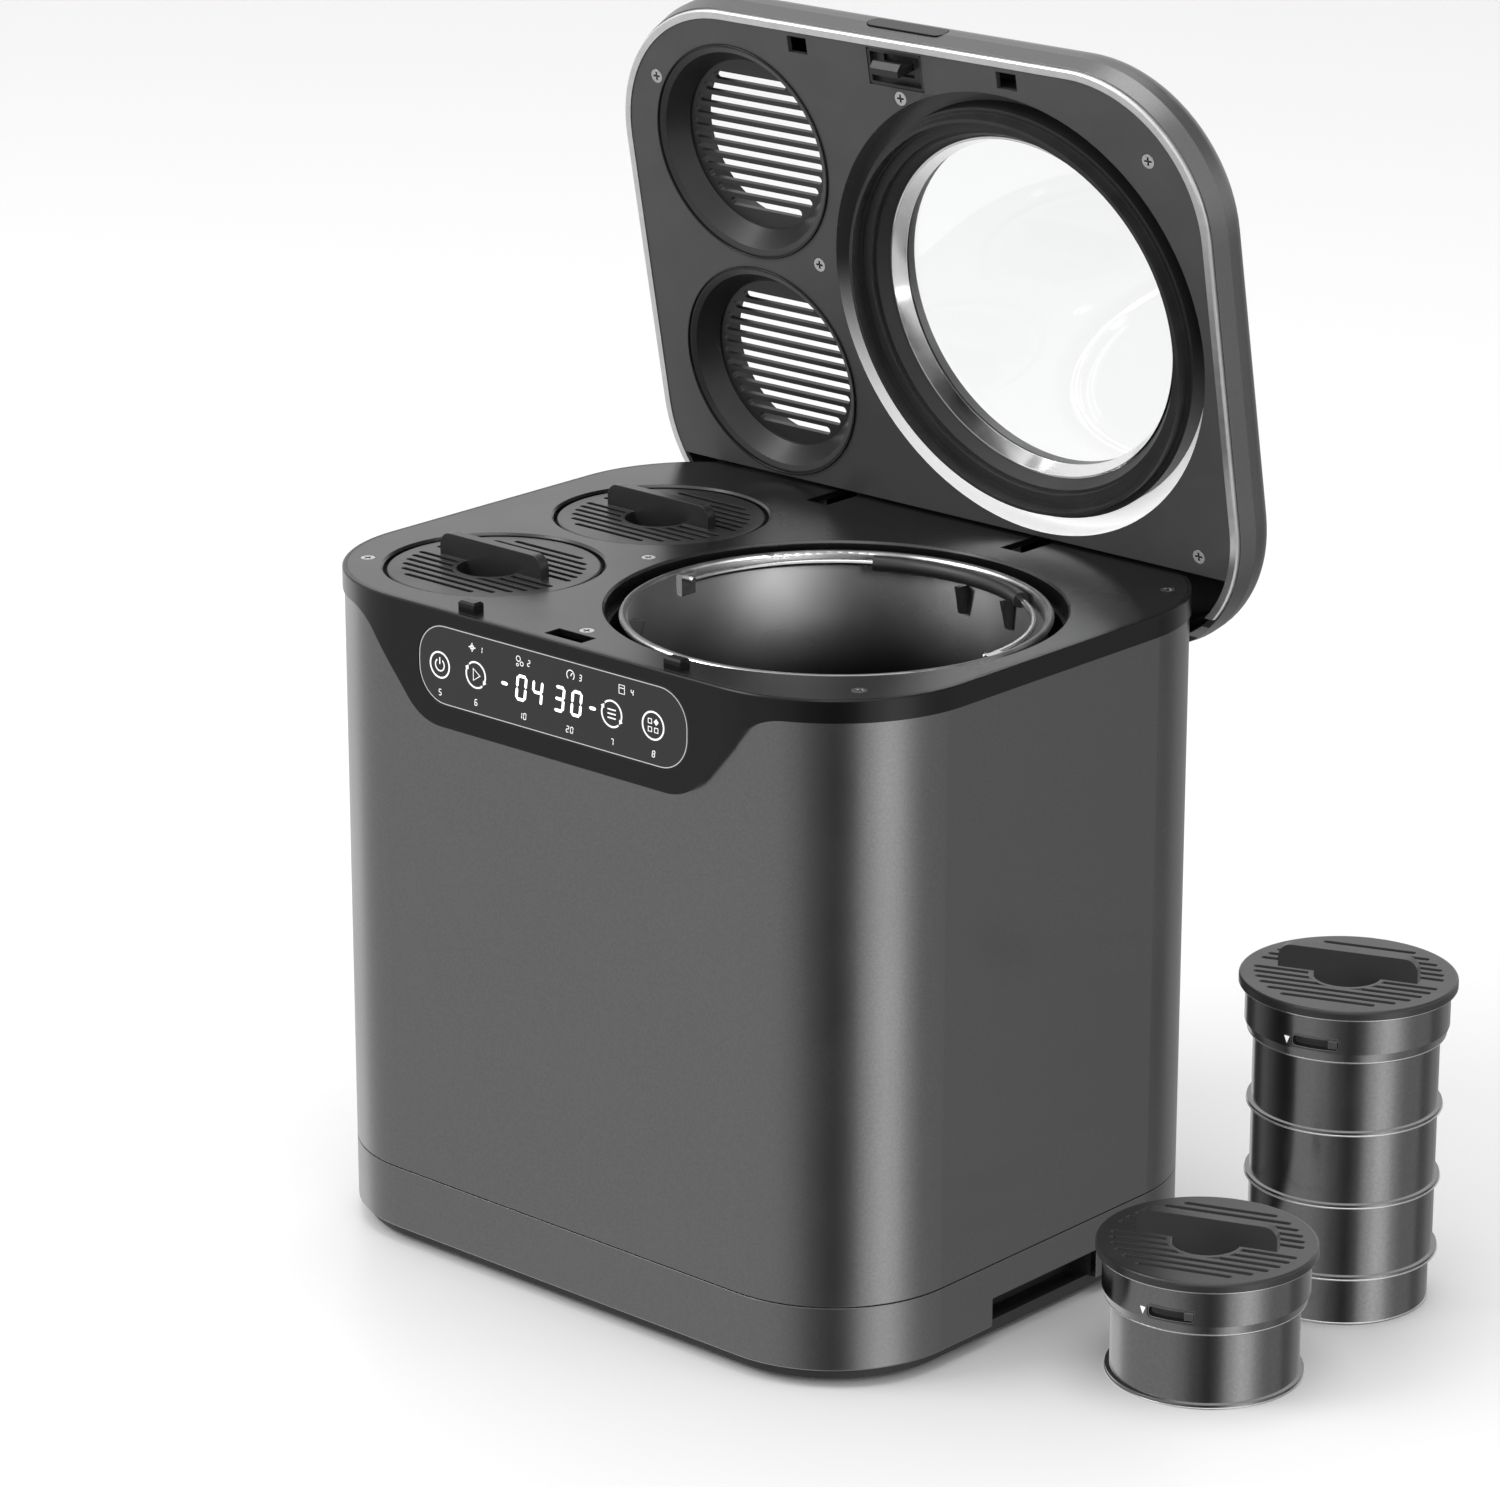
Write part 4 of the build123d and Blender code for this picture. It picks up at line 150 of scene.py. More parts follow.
# Each light's name, place, aim, size across and up, and power.
SOFT_BOXES = (
    ("key_light", (-1.6, -1.9, 2.6), (0, 0, 0.15), (1.6, 1.6), 40),
    ("top_light", (0.1, 0.2, 2.8), (0, 0, 0.2), (1.8, 1.8), 20),
)
BUCKET_AIM = (0.057, -0.0165, 0.27)
BUCKET_LIGHTS = (
    ("bucket_light_right", (0.66, -0.165, 0.56), BUCKET_AIM, (0.1, 0.3), 42),
    ("bucket_light_front", (-0.34, -0.49, 0.56), BUCKET_AIM, (0.1, 0.3), 36),
)


def soft_box(name, at, aim, size, power):
    """A soft rectangular light at a place, turned to a point."""
    data = bpy.data.lights.new(name, "AREA")
    data.shape = "RECTANGLE"
    data.size, data.size_y = size
    data.energy = power
    lamp = bpy.data.objects.new(name, data)
    lamp.location = at
    lamp.rotation_euler = (Vector(aim) - Vector(at)).to_track_quat("-Z", "Y").to_euler()
    bpy.context.scene.collection.objects.link(lamp)
    return lamp


def make_light():
    """Soft boxes above the set, and two lamps that light the bucket alone."""
    bpy.context.scene.view_settings.view_transform = "Standard"
    for box in SOFT_BOXES:
        soft_box(*box)
    only_bucket = bpy.data.collections.new("lit_by_bucket_lights")
    only_bucket.objects.link(NODES["bucket"])
    for box in BUCKET_LIGHTS:
        soft_box(*box).light_linking.receiver_collection = only_bucket


FLOOR_REACH = 30.0


def make_floor():
    """A pale floor that runs far past the view and stays out of reflections."""
    mesh = bpy.data.meshes.new("floor")
    signs = ((-1, -1), (1, -1), (1, 1), (-1, 1))
    corners = [(x * FLOOR_REACH, y * FLOOR_REACH, 0) for x, y in signs]
    mesh.from_pydata(corners, [], [(0, 1, 2, 3)])
    floor = bpy.data.objects.new("floor", mesh)
    bpy.context.scene.collection.objects.link(floor)
    paint = Finish("floor", (0.86, 0.86, 0.86), 0.35, Specular_IOR_Level=0.3)
    mesh.materials.append(paint.material)
    floor.visible_glossy = False


# ---------------------------------------------------------------- materials

NOISE_SPAN = (0.3, 0.7)
MOTTLE_STOPS = (0.35, 0.65)
GRAIN_DETAIL = 2.0
EDGE_SAMPLES = 4


class Finish:
    """A procedural surface finish, built up from a principled shader."""

    def __init__(self, name, colour, roughness, metallic=0.0, **sockets):
        self.name = name
        self.colour = colour
        self.roughness = roughness
        self.material = bpy.data.materials.new(name)
        self.material.use_nodes = True
        self.tree = self.material.node_tree
        self.shader = self.tree.nodes["Principled BSDF"]
        self.shader.inputs["Base Color"].default_value = (*colour, 1)
        self.shader.inputs["Roughness"].default_value = roughness
        self.shader.inputs["Metallic"].default_value = metallic
        for socket, value in sockets.items():
            self.shader.inputs[socket.replace("_", " ")].default_value = value
        self.place = self.tree.nodes.new("ShaderNodeTexCoord").outputs["Object"]
        self.normal = None

    def link(self, start, end):
        self.tree.links.new(start, end)

    def bend(self, normal):
        """Take a normal for the surface, and for the steps that follow."""
        self.normal = normal
        self.link(normal, self.shader.inputs["Normal"])
        return self

    def noise(self, scale, detail=3.0):
        """A noise pattern with a scale in cycles per metre."""
        texture = self.tree.nodes.new("ShaderNodeTexNoise")
        texture.inputs["Scale"].default_value = scale
        texture.inputs["Detail"].default_value = detail
        self.link(self.place, texture.inputs["Vector"])
        return texture.outputs["Fac"]

    def mottle(self, amount, scale, detail=3.0):
        """Slight lighter and darker patches in the colour."""
        ramp = self.tree.nodes.new("ShaderNodeValToRGB")
        for index, factor in enumerate((1 - amount, 1 + amount)):
            tone = [min(1.0, value * factor) for value in self.colour]
            ramp.color_ramp.elements[index].color = (*tone, 1)
            ramp.color_ramp.elements[index].position = MOTTLE_STOPS[index]
        self.link(self.noise(scale, detail), ramp.inputs["Fac"])
        self.link(ramp.outputs["Color"], self.shader.inputs["Base Color"])
        return self

    def fade(self, colour, low, high):
        """The colour gives way to another between two heights of the resting object, painting light
        and shade by height; any glow takes the same colour.
        """
        height = self.tree.nodes.new("ShaderNodeSeparateXYZ")
        self.link(self.place, height.inputs[0])
        mix = self.tree.nodes.new("ShaderNodeMix")
        mix.data_type = "RGBA"
        mix.inputs["A"].default_value = (*self.colour, 1)
        mix.inputs["B"].default_value = (*colour, 1)
        share = map_range(self.tree, height.outputs["Z"], (low, high), smooth=True)
        self.link(share, mix.inputs["Factor"])
        self.link(mix.outputs["Result"], self.shader.inputs["Base Color"])
        self.link(mix.outputs["Result"], self.shader.inputs["Emission Color"])
        return self

    def smudge(self, amount, scale):
        """Slight rougher and smoother patches."""
        span = (self.roughness - amount, self.roughness + amount)
        rough = map_range(self.tree, self.noise(scale), NOISE_SPAN, span)
        self.link(rough, self.shader.inputs["Roughness"])
        return self

    def edge(self, radius):
        """Edges softened by a small radius."""
        bevel = self.tree.nodes.new("ShaderNodeBevel")
        bevel.samples = EDGE_SAMPLES
        bevel.inputs["Radius"].default_value = radius
        return self.bend(bevel.outputs["Normal"])

    def grain(self, strength, scale, depth=0.0001):
        """A fine relief."""
        bump = self.tree.nodes.new("ShaderNodeBump")
        bump.inputs["Strength"].default_value = strength
        bump.inputs["Distance"].default_value = depth
        self.link(self.noise(scale, GRAIN_DETAIL), bump.inputs["Height"])
        if self.normal is not None:
            self.link(self.normal, bump.inputs["Normal"])
        return self.bend(bump.outputs["Normal"])


FINISHES = {finish.name: finish for finish in (
    Finish("body_paint", (0.2, 0.2, 0.202), 0.26, metallic=1.0)
    .mottle(0.05, 900).smudge(0.03, 14).edge(0.0006).grain(0.06, 4200, 0.00003),
    Finish("skirt_paint", (0.2, 0.2, 0.202), 0.28, metallic=1.0)
    .mottle(0.05, 900).smudge(0.03, 14).edge(0.0006).grain(0.06, 4200, 0.00003),
    Finish("base_plastic", (0.02, 0.02, 0.021), 0.55).mottle(0.15, 60).grain(0.3, 2600),
    Finish("gloss_black", (0.004, 0.004, 0.0045), 0.2, Specular_IOR_Level=0.3)
    .smudge(0.03, 22).edge(0.0005).grain(0.015, 30, 0.0002),
    Finish("deck_plastic", (0.005, 0.005, 0.0053), 0.26, Specular_IOR_Level=0.7)
    .mottle(0.06, 40).smudge(0.03, 18).edge(0.0005).grain(0.05, 3400, 0.00005),
    Finish("lid_paint", (0.17, 0.17, 0.172), 0.34, metallic=0.9)
    .mottle(0.04, 900).smudge(0.03, 12).edge(0.0006).grain(0.08, 3800, 0.00004),
    Finish("panel_plastic", (0.055, 0.055, 0.056), 0.42)
    .mottle(0.06, 50).smudge(0.05, 20).edge(0.0004).grain(0.2, 3200, 0.00006),
    # Painted light: the groove's silver wall glows a little as a painted highlight, and turns near
    # black above 0.35 m as painted shade.
    Finish("groove_silver_painted_light", (0.95, 0.95, 0.95), 0.3, metallic=0.1, Emission_Strength=0.4)
    .fade((0.03, 0.03, 0.03), 0.35, 0.43).smudge(0.05, 60).grain(0.05, 2600, 0.00003),
    Finish("trim_silver", (0.72, 0.72, 0.72), 0.34, metallic=0.9)
    .mottle(0.04, 200).smudge(0.05, 60).edge(0.0003).grain(0.05, 2600, 0.00003),
    Finish("black_plastic", (0.016, 0.016, 0.017), 0.36)
    .mottle(0.12, 60).smudge(0.06, 24).edge(0.0003).grain(0.15, 3000, 0.00005),
    Finish("chrome_ring", (0.82, 0.82, 0.82), 0.12, metallic=1.0)
    .smudge(0.04, 50).edge(0.0003).grain(0.02, 900, 0.00003),
    Finish("ring_satin", (0.02, 0.02, 0.0205), 0.5)
    .mottle(0.08, 60).smudge(0.05, 30).edge(0.0003).grain(0.15, 3000, 0.00005),
    # Painted shade: a darker steel in the recesses of the screw heads.
    Finish("screw_recess_painted_shade", (0.05, 0.05, 0.05), 0.5, metallic=0.6).mottle(0.2, 900),
    Finish("seal_rubber", (0.02, 0.02, 0.02), 0.5).mottle(0.2, 80).grain(0.2, 2400),
    Finish("foot_rubber", (0.018, 0.018, 0.018), 0.7).mottle(0.2, 120).grain(0.4, 1800),
    Finish("steel", (0.6, 0.6, 0.61), 0.22, metallic=1.0)
    .mottle(0.05, 300).smudge(0.06, 200).edge(0.0002).grain(0.04, 2200, 0.00003),
    Finish("bucket_outside", (0.0025, 0.0025, 0.0026), 0.5, Specular_IOR_Level=0.06)
    .mottle(0.06, 300).smudge(0.04, 40).grain(0.05, 2600, 0.00004),
    # Painted sheen: the dark coating turns to a lighter metal between 0.245 m and 0.305 m up, a
    # painted highlight on the upper inside wall.
    Finish("bucket_coating", (0.012, 0.012, 0.0125), 0.28, metallic=1.0)
    .fade((0.26, 0.26, 0.26), 0.245, 0.305).smudge(0.02, 20).grain(0.03, 2600, 0.00003),
    Finish("cast_metal", (0.42, 0.42, 0.43), 0.5, metallic=0.9)
    .mottle(0.1, 140).smudge(0.08, 90).grain(0.4, 1500, 0.0001),
    Finish("circuit_board", (0.012, 0.1, 0.04), 0.4, Coat_Weight=0.4)
    .mottle(0.35, 260, detail=0.0).smudge(0.06, 200).grain(0.2, 900, 0.00005),
    Finish("canister_metal", (0.2, 0.2, 0.202), 0.2, metallic=1.0)
    .mottle(0.05, 700).smudge(0.03, 30).edge(0.0003).grain(0.05, 3800, 0.00003),
    Finish("cap_plastic", (0.018, 0.018, 0.0185), 0.32, Specular_IOR_Level=0.6)
    .mottle(0.08, 60).smudge(0.05, 30).edge(0.0005).grain(0.12, 3200, 0.00005),
    Finish("gear_nylon", (0.62, 0.6, 0.52), 0.45, Subsurface_Weight=0.1)
    .mottle(0.05, 120).smudge(0.05, 60).grain(0.15, 1600, 0.00005),
    Finish("rim_steel", (0.14, 0.14, 0.143), 0.36, metallic=1.0)
    .mottle(0.06, 300).smudge(0.05, 60).grain(0.04, 2200, 0.00003),
    # A glossy coat on a base ten times lighter than the deck's; the lighter base is a painted
    # highlight along the deck's rounded edge.
    Finish("edge_gloss_and_painted_highlight", (0.05, 0.05, 0.051), 0.18, Coat_Weight=1.0, Coat_Roughness=0.05)
    .mottle(0.05, 200).smudge(0.03, 60),
    Finish("panel_glass", (0.008, 0.008, 0.0085), 0.12, Coat_Weight=0.3, Coat_Roughness=0.05)
    .smudge(0.02, 30).edge(0.0002).grain(0.01, 40, 0.0002),
    # Painted highlight: a light metal for thin rings along the canisters' rolled edges.
    Finish("edge_painted_highlight", (0.55, 0.55, 0.56), 0.2, metallic=1.0)
    .mottle(0.05, 300).smudge(0.05, 150),
    Finish("print_grey", (0.55, 0.55, 0.55), 0.4)
    .mottle(0.03, 900).smudge(0.04, 300),
    # White print with a faint glow as painted light.
    Finish("print_white_painted_glow", (0.8, 0.8, 0.8), 0.4, Emission_Strength=0.35, Emission_Color=WHITE)
    .mottle(0.03, 900).smudge(0.04, 300),
    Finish("digit_light", (0.9, 0.9, 0.9), 0.4, Emission_Strength=1.3, Emission_Color=WHITE)
    .mottle(0.04, 400).smudge(0.04, 300),
    Finish("clear_glass", (0.985, 0.99, 0.99), 0.0, IOR=1.45, Transmission_Weight=1.0)
    .grain(0.01, 20, 0.0002),
)}

# The nodes that don't take the finish their material slot names.
NODE_FINISH = {
    "body_shell": "body_paint",
    "base_skirt": "skirt_paint",
    "lid_shell": "lid_paint",
    "touch_panel": "panel_glass",
    "window_carrier": "ring_satin",
}


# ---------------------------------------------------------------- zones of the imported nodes

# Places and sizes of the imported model, in millimetres, and the angle of its open lid.
HINGE_Y = 106.3
HINGE_Z = 292.3
LID_OPEN = math.radians(79.3)
BUCKET_AXIS = (57.0, -16.5)
GROOVE_SPAN = (96.5, 105.6)
GROOVE_LOW_Z = 312.3
RIM_LOW_Z = 304.5
RIM_LOW_R = 91.0
SCREW_FACE = 0.3
DECK_CORNER = 71.5
BAND_DEPTH = 2.5
CAP_TOP_H = 14.7
SKIRT_INNER_R = 40.8
SKIRT_H = 22.0
SKIRT_GAP = 0.3
SPARE_CANISTERS = ("tall_filter", "short_filter")
CANISTERS = ("front_filter", "rear_filter") + SPARE_CANISTERS

# On the bucket's outside, the offset from the axis times the normal is over OUTWARD, or the
# normal's z is under DOWNWARD. It is under BAND_LEAN on the deck's upright band, and over
# FLAT_LEAN on its flat top.
OUTWARD = 0.1
DOWNWARD = -0.5
BAND_LEAN = 0.2
FLAT_LEAN = 0.97


def zone(name, finish, test):
    """A second finish for the faces of a node that pass a test.

    The test is given the middle of a face, in millimetres, and its normal.
    """
    mesh = NODES[name].data
    index = len(mesh.materials)
    mesh.materials.append(FINISHES[finish].material)
    for face in mesh.polygons:
        if test(face.center / MM, face.normal):
            face.material_index = index


def swing(point, angle):
    """A point of the lid, in millimetres, turned about the hinge; a positive angle shuts it."""
    dy = point.y - HINGE_Y
    dz = point.z - HINGE_Z
    y = HINGE_Y + dy * math.cos(angle) - dz * math.sin(angle)
    z = HINGE_Z + dy * math.sin(angle) + dz * math.cos(angle)
    return Vector((point.x, y, z))


def shut(point):
    """Where a point of the open lid lies when the lid is shut."""
    return swing(point, LID_OPEN)


def from_bucket_axis(point):
    """The distance from the upright line through the bucket and the shut lid's window."""
    return math.hypot(point.x - BUCKET_AXIS[0], point.y - BUCKET_AXIS[1])


def in_groove(point, normal):
    """The groove round the window in the lid's inner panel."""
    place = shut(point)
    return place.z > GROOVE_LOW_Z and GROOVE_SPAN[0] < from_bucket_axis(place) < GROOVE_SPAN[1]


def on_bucket_rim(point, normal):
    """The bucket's rolled rim."""
    return point.z > RIM_LOW_Z and from_bucket_axis(point) > RIM_LOW_R


def on_bucket_outside(point, normal):
    """The bucket's faces that look away from its middle line, or down."""
    outward = (point.x - BUCKET_AXIS[0]) * normal.x + (point.y - BUCKET_AXIS[1]) * normal.y
    return outward > OUTWARD or normal.z < DOWNWARD


DECK_SCREW_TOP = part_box("deck_screws")[1].z / MM
LID_SCREW_TOP = min(shut(vert.co / MM).z for vert in NODES["lid_screws"].data.vertices)


def in_deck_screw(point, normal):
    """The recesses in the heads of the deck's screws."""
    return point.z < DECK_SCREW_TOP - SCREW_FACE


def in_lid_screw(point, normal):
    """The recesses in the heads of the lid's screws, which look down when it is shut."""
    return shut(point).z > LID_SCREW_TOP + SCREW_FACE


DECK_LOW, DECK_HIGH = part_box("top_deck")
DECK_HALF = (DECK_HIGH - DECK_LOW) / 2 / MM


def by_deck_edge(point):
    """Whether a point lies within the band's depth of the deck's rounded outline."""
    over_x = abs(point.x) - (DECK_HALF.x - DECK_CORNER)
    over_y = abs(point.y) - (DECK_HALF.y - DECK_CORNER)
    past_corner = math.hypot(max(over_x, 0), max(over_y, 0))
    outside = past_corner + min(max(over_x, over_y), 0) - DECK_CORNER
    return outside > -BAND_DEPTH


def on_deck_band(point, normal):
    """The upright band round the deck."""
    return abs(normal.z) < BAND_LEAN and by_deck_edge(point)


def on_deck_rounding(point, normal):
    """The rounding between the deck's band and its top."""
    return BAND_LEAN <= normal.z < FLAT_LEAN and by_deck_edge(point)


def cap_place(name):
    """The middle of a canister's cap and the height of its plate's underside, in millimetres."""
    low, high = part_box(name + "_cap")
    return (low.x + high.x) / 2 / MM, (low.y + high.y) / 2 / MM, high.z / MM - CAP_TOP_H


def on_skirt(name):
    """A test for the faces of a cap's metal skirt."""
    x, y, plate_z = cap_place(name)

    def test(point, normal):
        below = point.z < plate_z - SKIRT_GAP
        return below and math.hypot(point.x - x, point.y - y) > SKIRT_INNER_R

    return test


def dress_nodes():
    """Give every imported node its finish, and some of them further finishes by zone."""
    for entry in frame["record"]["subparts"]:
        node = NODES[entry["node"]]
        wanted = NODE_FINISH.get(node.name, entry["material_slot"])
        if node.name.endswith("_filter_cap"):
            wanted = "cap_plastic"
        node.data.materials.clear()
        node.data.materials.append(FINISHES[wanted].material)
        node.data.polygons.foreach_set("material_index", [0] * len(node.data.polygons))
    # The groove's wall takes the painted highlight and painted shade of its finish.
    zone("lid_inner_panel", "groove_silver_painted_light", in_groove)
    # The bucket's outside keeps a plain dark finish, so the painted sheen stays inside.
    zone("bucket", "bucket_outside", on_bucket_outside)
    zone("bucket", "rim_steel", on_bucket_rim)
    # The screw heads' recesses take a darker finish as painted shade.
    zone("deck_screws", "screw_recess_painted_shade", in_deck_screw)
    zone("lid_screws", "screw_recess_painted_shade", in_lid_screw)
    zone("top_deck", "gloss_black", on_deck_band)
    # The deck's rounded edge takes a lighter base as a painted highlight.
    zone("top_deck", "edge_gloss_and_painted_highlight", on_deck_rounding)
    for name in CANISTERS:
        zone(name + "_cap", "canister_metal", on_skirt(name))
    for name in SPARE_CANISTERS:
        NODES[name + "_cap"].visible_glossy = False
        NODES[name + "_cans"].visible_glossy = False


# ---------------------------------------------------------------- flat marks

PRINT_DEPTH = 0.06
WRAP_ROOT = 0.1
WELD = 1e-6
CORNER_STEPS = 10
# The first and last angle of a ring and its steps; closing the stroke fills the gap that is left.
RING_SWEEP = (0, 345, 24)


class Print:
    """Flat marks for the touch panel or a canister, in millimetres across and up."""

    def __init__(self):
        self.bm = bmesh.new()

    def area(self, points):
        """One filled outline."""
        self.bm.faces.new([self.bm.verts.new((x * MM, 0, z * MM)) for x, z in points])

    def stroke(self, points, width, closed=False):
        """A line of even width through some points."""
        sides = []
        last = len(points) - 1
        for index, (x, z) in enumerate(points):
            before = points[index - 1] if index or closed else points[index]
            after = points[(index + 1) % len(points)] if index < last or closed else points[index]
            way = Vector((after[0] - before[0], after[1] - before[1])).normalized() * width / 2
            sides.append(((x - way.y, z + way.x), (x + way.y, z - way.x)))
        if closed:
            sides.append(sides[0])
        for (left, right), (next_left, next_right) in zip(sides, sides[1:]):
            self.area([left, right, next_right, next_left])

    def ring(self, centre, radius, width):
        """A whole circle."""
        self.stroke(arc(centre, radius, *RING_SWEEP), width, closed=True)

    def thicken(self, depth):
        """Give the flat marks a thickness, towards -Y."""
        bmesh.ops.remove_doubles(self.bm, verts=self.bm.verts, dist=WELD)
        grown = bmesh.ops.extrude_face_region(self.bm, geom=self.bm.faces[:])
        raised = [item for item in grown["geom"] if isinstance(item, bmesh.types.BMVert)]
        bmesh.ops.translate(self.bm, verts=raised, vec=(0, -depth * MM, 0))

    def finish(self, name, finish):
        """Lay the marks on the touch panel's face and let them ride on the casing."""
        face_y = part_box("touch_panel")[0][1]
        self.thicken(PRINT_DEPTH)
        bmesh.ops.translate(self.bm, verts=self.bm.verts, vec=(0, face_y, 0))
        bmesh.ops.recalc_face_normals(self.bm, faces=self.bm.faces)
        add_piece(name, self.bm, finish, "casing")

    def wrap(self, name, finish, spot, radius, heading, body, depth):
        """Wrap the marks round an upright cylinder, with their middle at a heading and a height."""
        self.thicken(depth)
        for vert in self.bm.verts:
            angle = math.radians(heading) + vert.co.x / (radius * MM)
            reach = (radius - WRAP_ROOT) * MM - vert.co.y
            vert.co = (
                spot[0] * MM + reach * math.cos(angle),
                spot[1] * MM + reach * math.sin(angle),
                spot[2] * MM + vert.co.z,
            )
        bmesh.ops.recalc_face_normals(self.bm, faces=self.bm.faces)
        add_piece(name, self.bm, finish, body)


def add_piece(name, bm, finish, body):
    """A new piece of the scene that rides on a body."""
    mesh = bpy.data.meshes.new(name)
    bm.to_mesh(mesh)
    bm.free()
    piece = bpy.data.objects.new(name, mesh)
    bpy.context.scene.collection.objects.link(piece)
    mesh.materials.append(FINISHES[finish].material)
    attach(piece, body)


def polar(centre, radius, degrees):
    """The point at a radius and an angle from +X."""
    angle = math.radians(degrees)
    return centre[0] + radius * math.cos(angle), centre[1] + radius * math.sin(angle)


def arc(centre, radius, start, end, steps):
    """Points along an arc, with the angles in degrees from +X."""
    sweep = end - start
    return [polar(centre, radius, start + sweep * step / steps) for step in range(steps + 1)]


def rounded_outline(centre, size, corner):
    """The points of a rectangle with rounded corners."""
    points = []
    for start, side_x, side_z in ((0, 1, 1), (90, -1, 1), (180, -1, -1), (270, 1, -1)):
        x = centre[0] + side_x * (size[0] / 2 - corner)
        z = centre[1] + side_z * (size[1] / 2 - corner)
        points += arc((x, z), corner, start, start + 90, CORNER_STEPS)
    return points


# ---------------------------------------------------------------- marks on the touch panel

PANEL_CENTRE = (0.0, 285.0)
PANEL_SIZE = (158.8, 35.3)
PANEL_CORNER = 15.4
BORDER_LINE = 0.4

KEY_Z = 284.7
POWER_X, TURN_X, STEPS_X, MENU_X = -67.0, -45.0, 36.0, 60.0
KEY_R = 5.8
MENU_KEY_R = 6.1
KEY_LINE = 0.8
SIGN_LINE = 0.6
TILE_LINE = 0.45
# The sign for power: its arc's radius, angles and steps, and its stem's ends above the middle.
POWER_ARC = (2.7, 125, 415, 18)
POWER_STEM = (0.4, 3.5)
# A turning arrow, in degrees from the key's side: its line's ends, and its head's heel and tip.
ARROW_LINE = (132, -25)
ARROW_HEEL = -22
ARROW_TIP = -42
ARROW_STEPS = 16
ARROW_SPREAD = 0.55
TRIANGLE = ((-46.5, 282.0), (-42.4, KEY_Z), (-46.5, 287.4))
STEP_SPAN = (33.6, 38.4)
STEP_PITCH = 1.9
TILES = ((58.2, 286.5), (58.2, 282.9), (61.8, 282.9))
DIAMOND = ((61.8, 285.0), (63.2, 286.5), (61.8, 288.0), (60.4, 286.5))

SPARK_AT = (-47.0, 296.8)
SPARK_HUB = 0.4
SPARK_LONG = 2.0
SPARK_SHORT = 1.3
SPARK_LINE = 0.5
# Each bubble's middle, radius and line; the gauge's radius, angles and steps.
BUBBLES = (((-19.0, 297.6), 1.2, 0.35), ((-17.0, 295.6), 0.9, 0.35), ((-19.6, 294.8), 0.6, 0.3))
GAUGE_AT = (12.0, 296.8)
GAUGE_ARC = (2.2, -50, 230, 16)
GAUGE_LINE = 0.4
GAUGE_HAND = ((12.0, 296.4), (13.1, 297.9))
HAND_LINE = 0.45
FILTER_BOX = ((40.4, 294.9), (43.6, 294.9), (43.6, 298.7), (40.4, 298.7))
BOX_LINE = 0.4
FILTER_BOX_BAR = ((40.8, 297.4), (43.2, 297.4))
BAR_LINE = 0.35

# Rows of figures. Small ones: their height, size and pitch, and each number's left end.
SMALL_LINE = 0.36
SIGN_NUMBERS = (295.4, (1.3, 2.6), 2.4, (("1", -42.4), ("2", -13.6), ("3", 17.0), ("4", 47.2)))
KEY_NUMBERS = (
    270.9, (1.4, 2.7), 2.5,
    (("5", -68.0), ("6", -46.0), ("10", -19.0), ("20", 9.0), ("7", 35.2), ("8", 59.3)),
)
# The lit ones: each group's left end, figure size, line width and pitch.
DISPLAY_Z = 279.4
DISPLAY_FIGURES = (
    ("-", -30.4, (4.4, 10.6), 1.5, 0),
    ("04", -20.6, (5.0, 10.6), 1.35, 9.6),
    ("30", 2.0, (5.0, 10.6), 1.35, 10.2),
    ("-", 22.0, (4.4, 10.6), 1.5, 0),
)

# Seven-segment figures: each sign's segments, and their ends in widths across and half heights up.
SEGMENTS = {
    "0": "abcdef", "1": "bc", "2": "abged", "3": "abgcd", "4": "fgbc",
    "5": "afgcd", "6": "afgedc", "7": "abc", "8": "abcdefg", "-": "g",
}
SEGMENT_ENDS = {
    "a": ((0, 2), (1, 2)), "b": ((1, 2), (1, 1)), "c": ((1, 1), (1, 0)), "d": ((0, 0), (1, 0)),
    "e": ((0, 0), (0, 1)), "f": ((0, 1), (0, 2)), "g": ((0, 1), (1, 1)),
}
SEGMENT_INSET = 0.62
SLANT = 0.12


def draw_number(ink, text, at, size, width, gap):
    """Seven-segment figures, from the lower left corner of the first."""
    x, z = at
    for sign in text:
        for segment in SEGMENTS[sign]:
            ends = []
            for across, up in SEGMENT_ENDS[segment]:
                lean = SLANT * up * size[1] / 2
                ends.append(Vector((x + across * size[0] + lean, z + up * size[1] / 2)))
            way = (ends[1] - ends[0]).normalized()
            start = ends[0] + way * width * SEGMENT_INSET
            end = ends[1] - way * width * SEGMENT_INSET
            side = Vector((-way.y, way.x)) * width / 2
            nose = way * width / 2
            ink.area([start - nose, start + side, end + side, end + nose, end - side, start - side])
        x += gap


def draw_small_numbers(ink, row):
    """A row of small figures."""
    z, size, gap, numbers = row
    for number, x in numbers:
        draw_number(ink, number, (x, z), size, SMALL_LINE, gap)


def draw_power_key(ink, centre):
    """A ring with the sign for power."""
    ink.ring(centre, KEY_R, KEY_LINE)
    ink.stroke(arc(centre, *POWER_ARC), SIGN_LINE)
    ink.stroke([(centre[0], centre[1] + rise) for rise in POWER_STEM], SIGN_LINE)


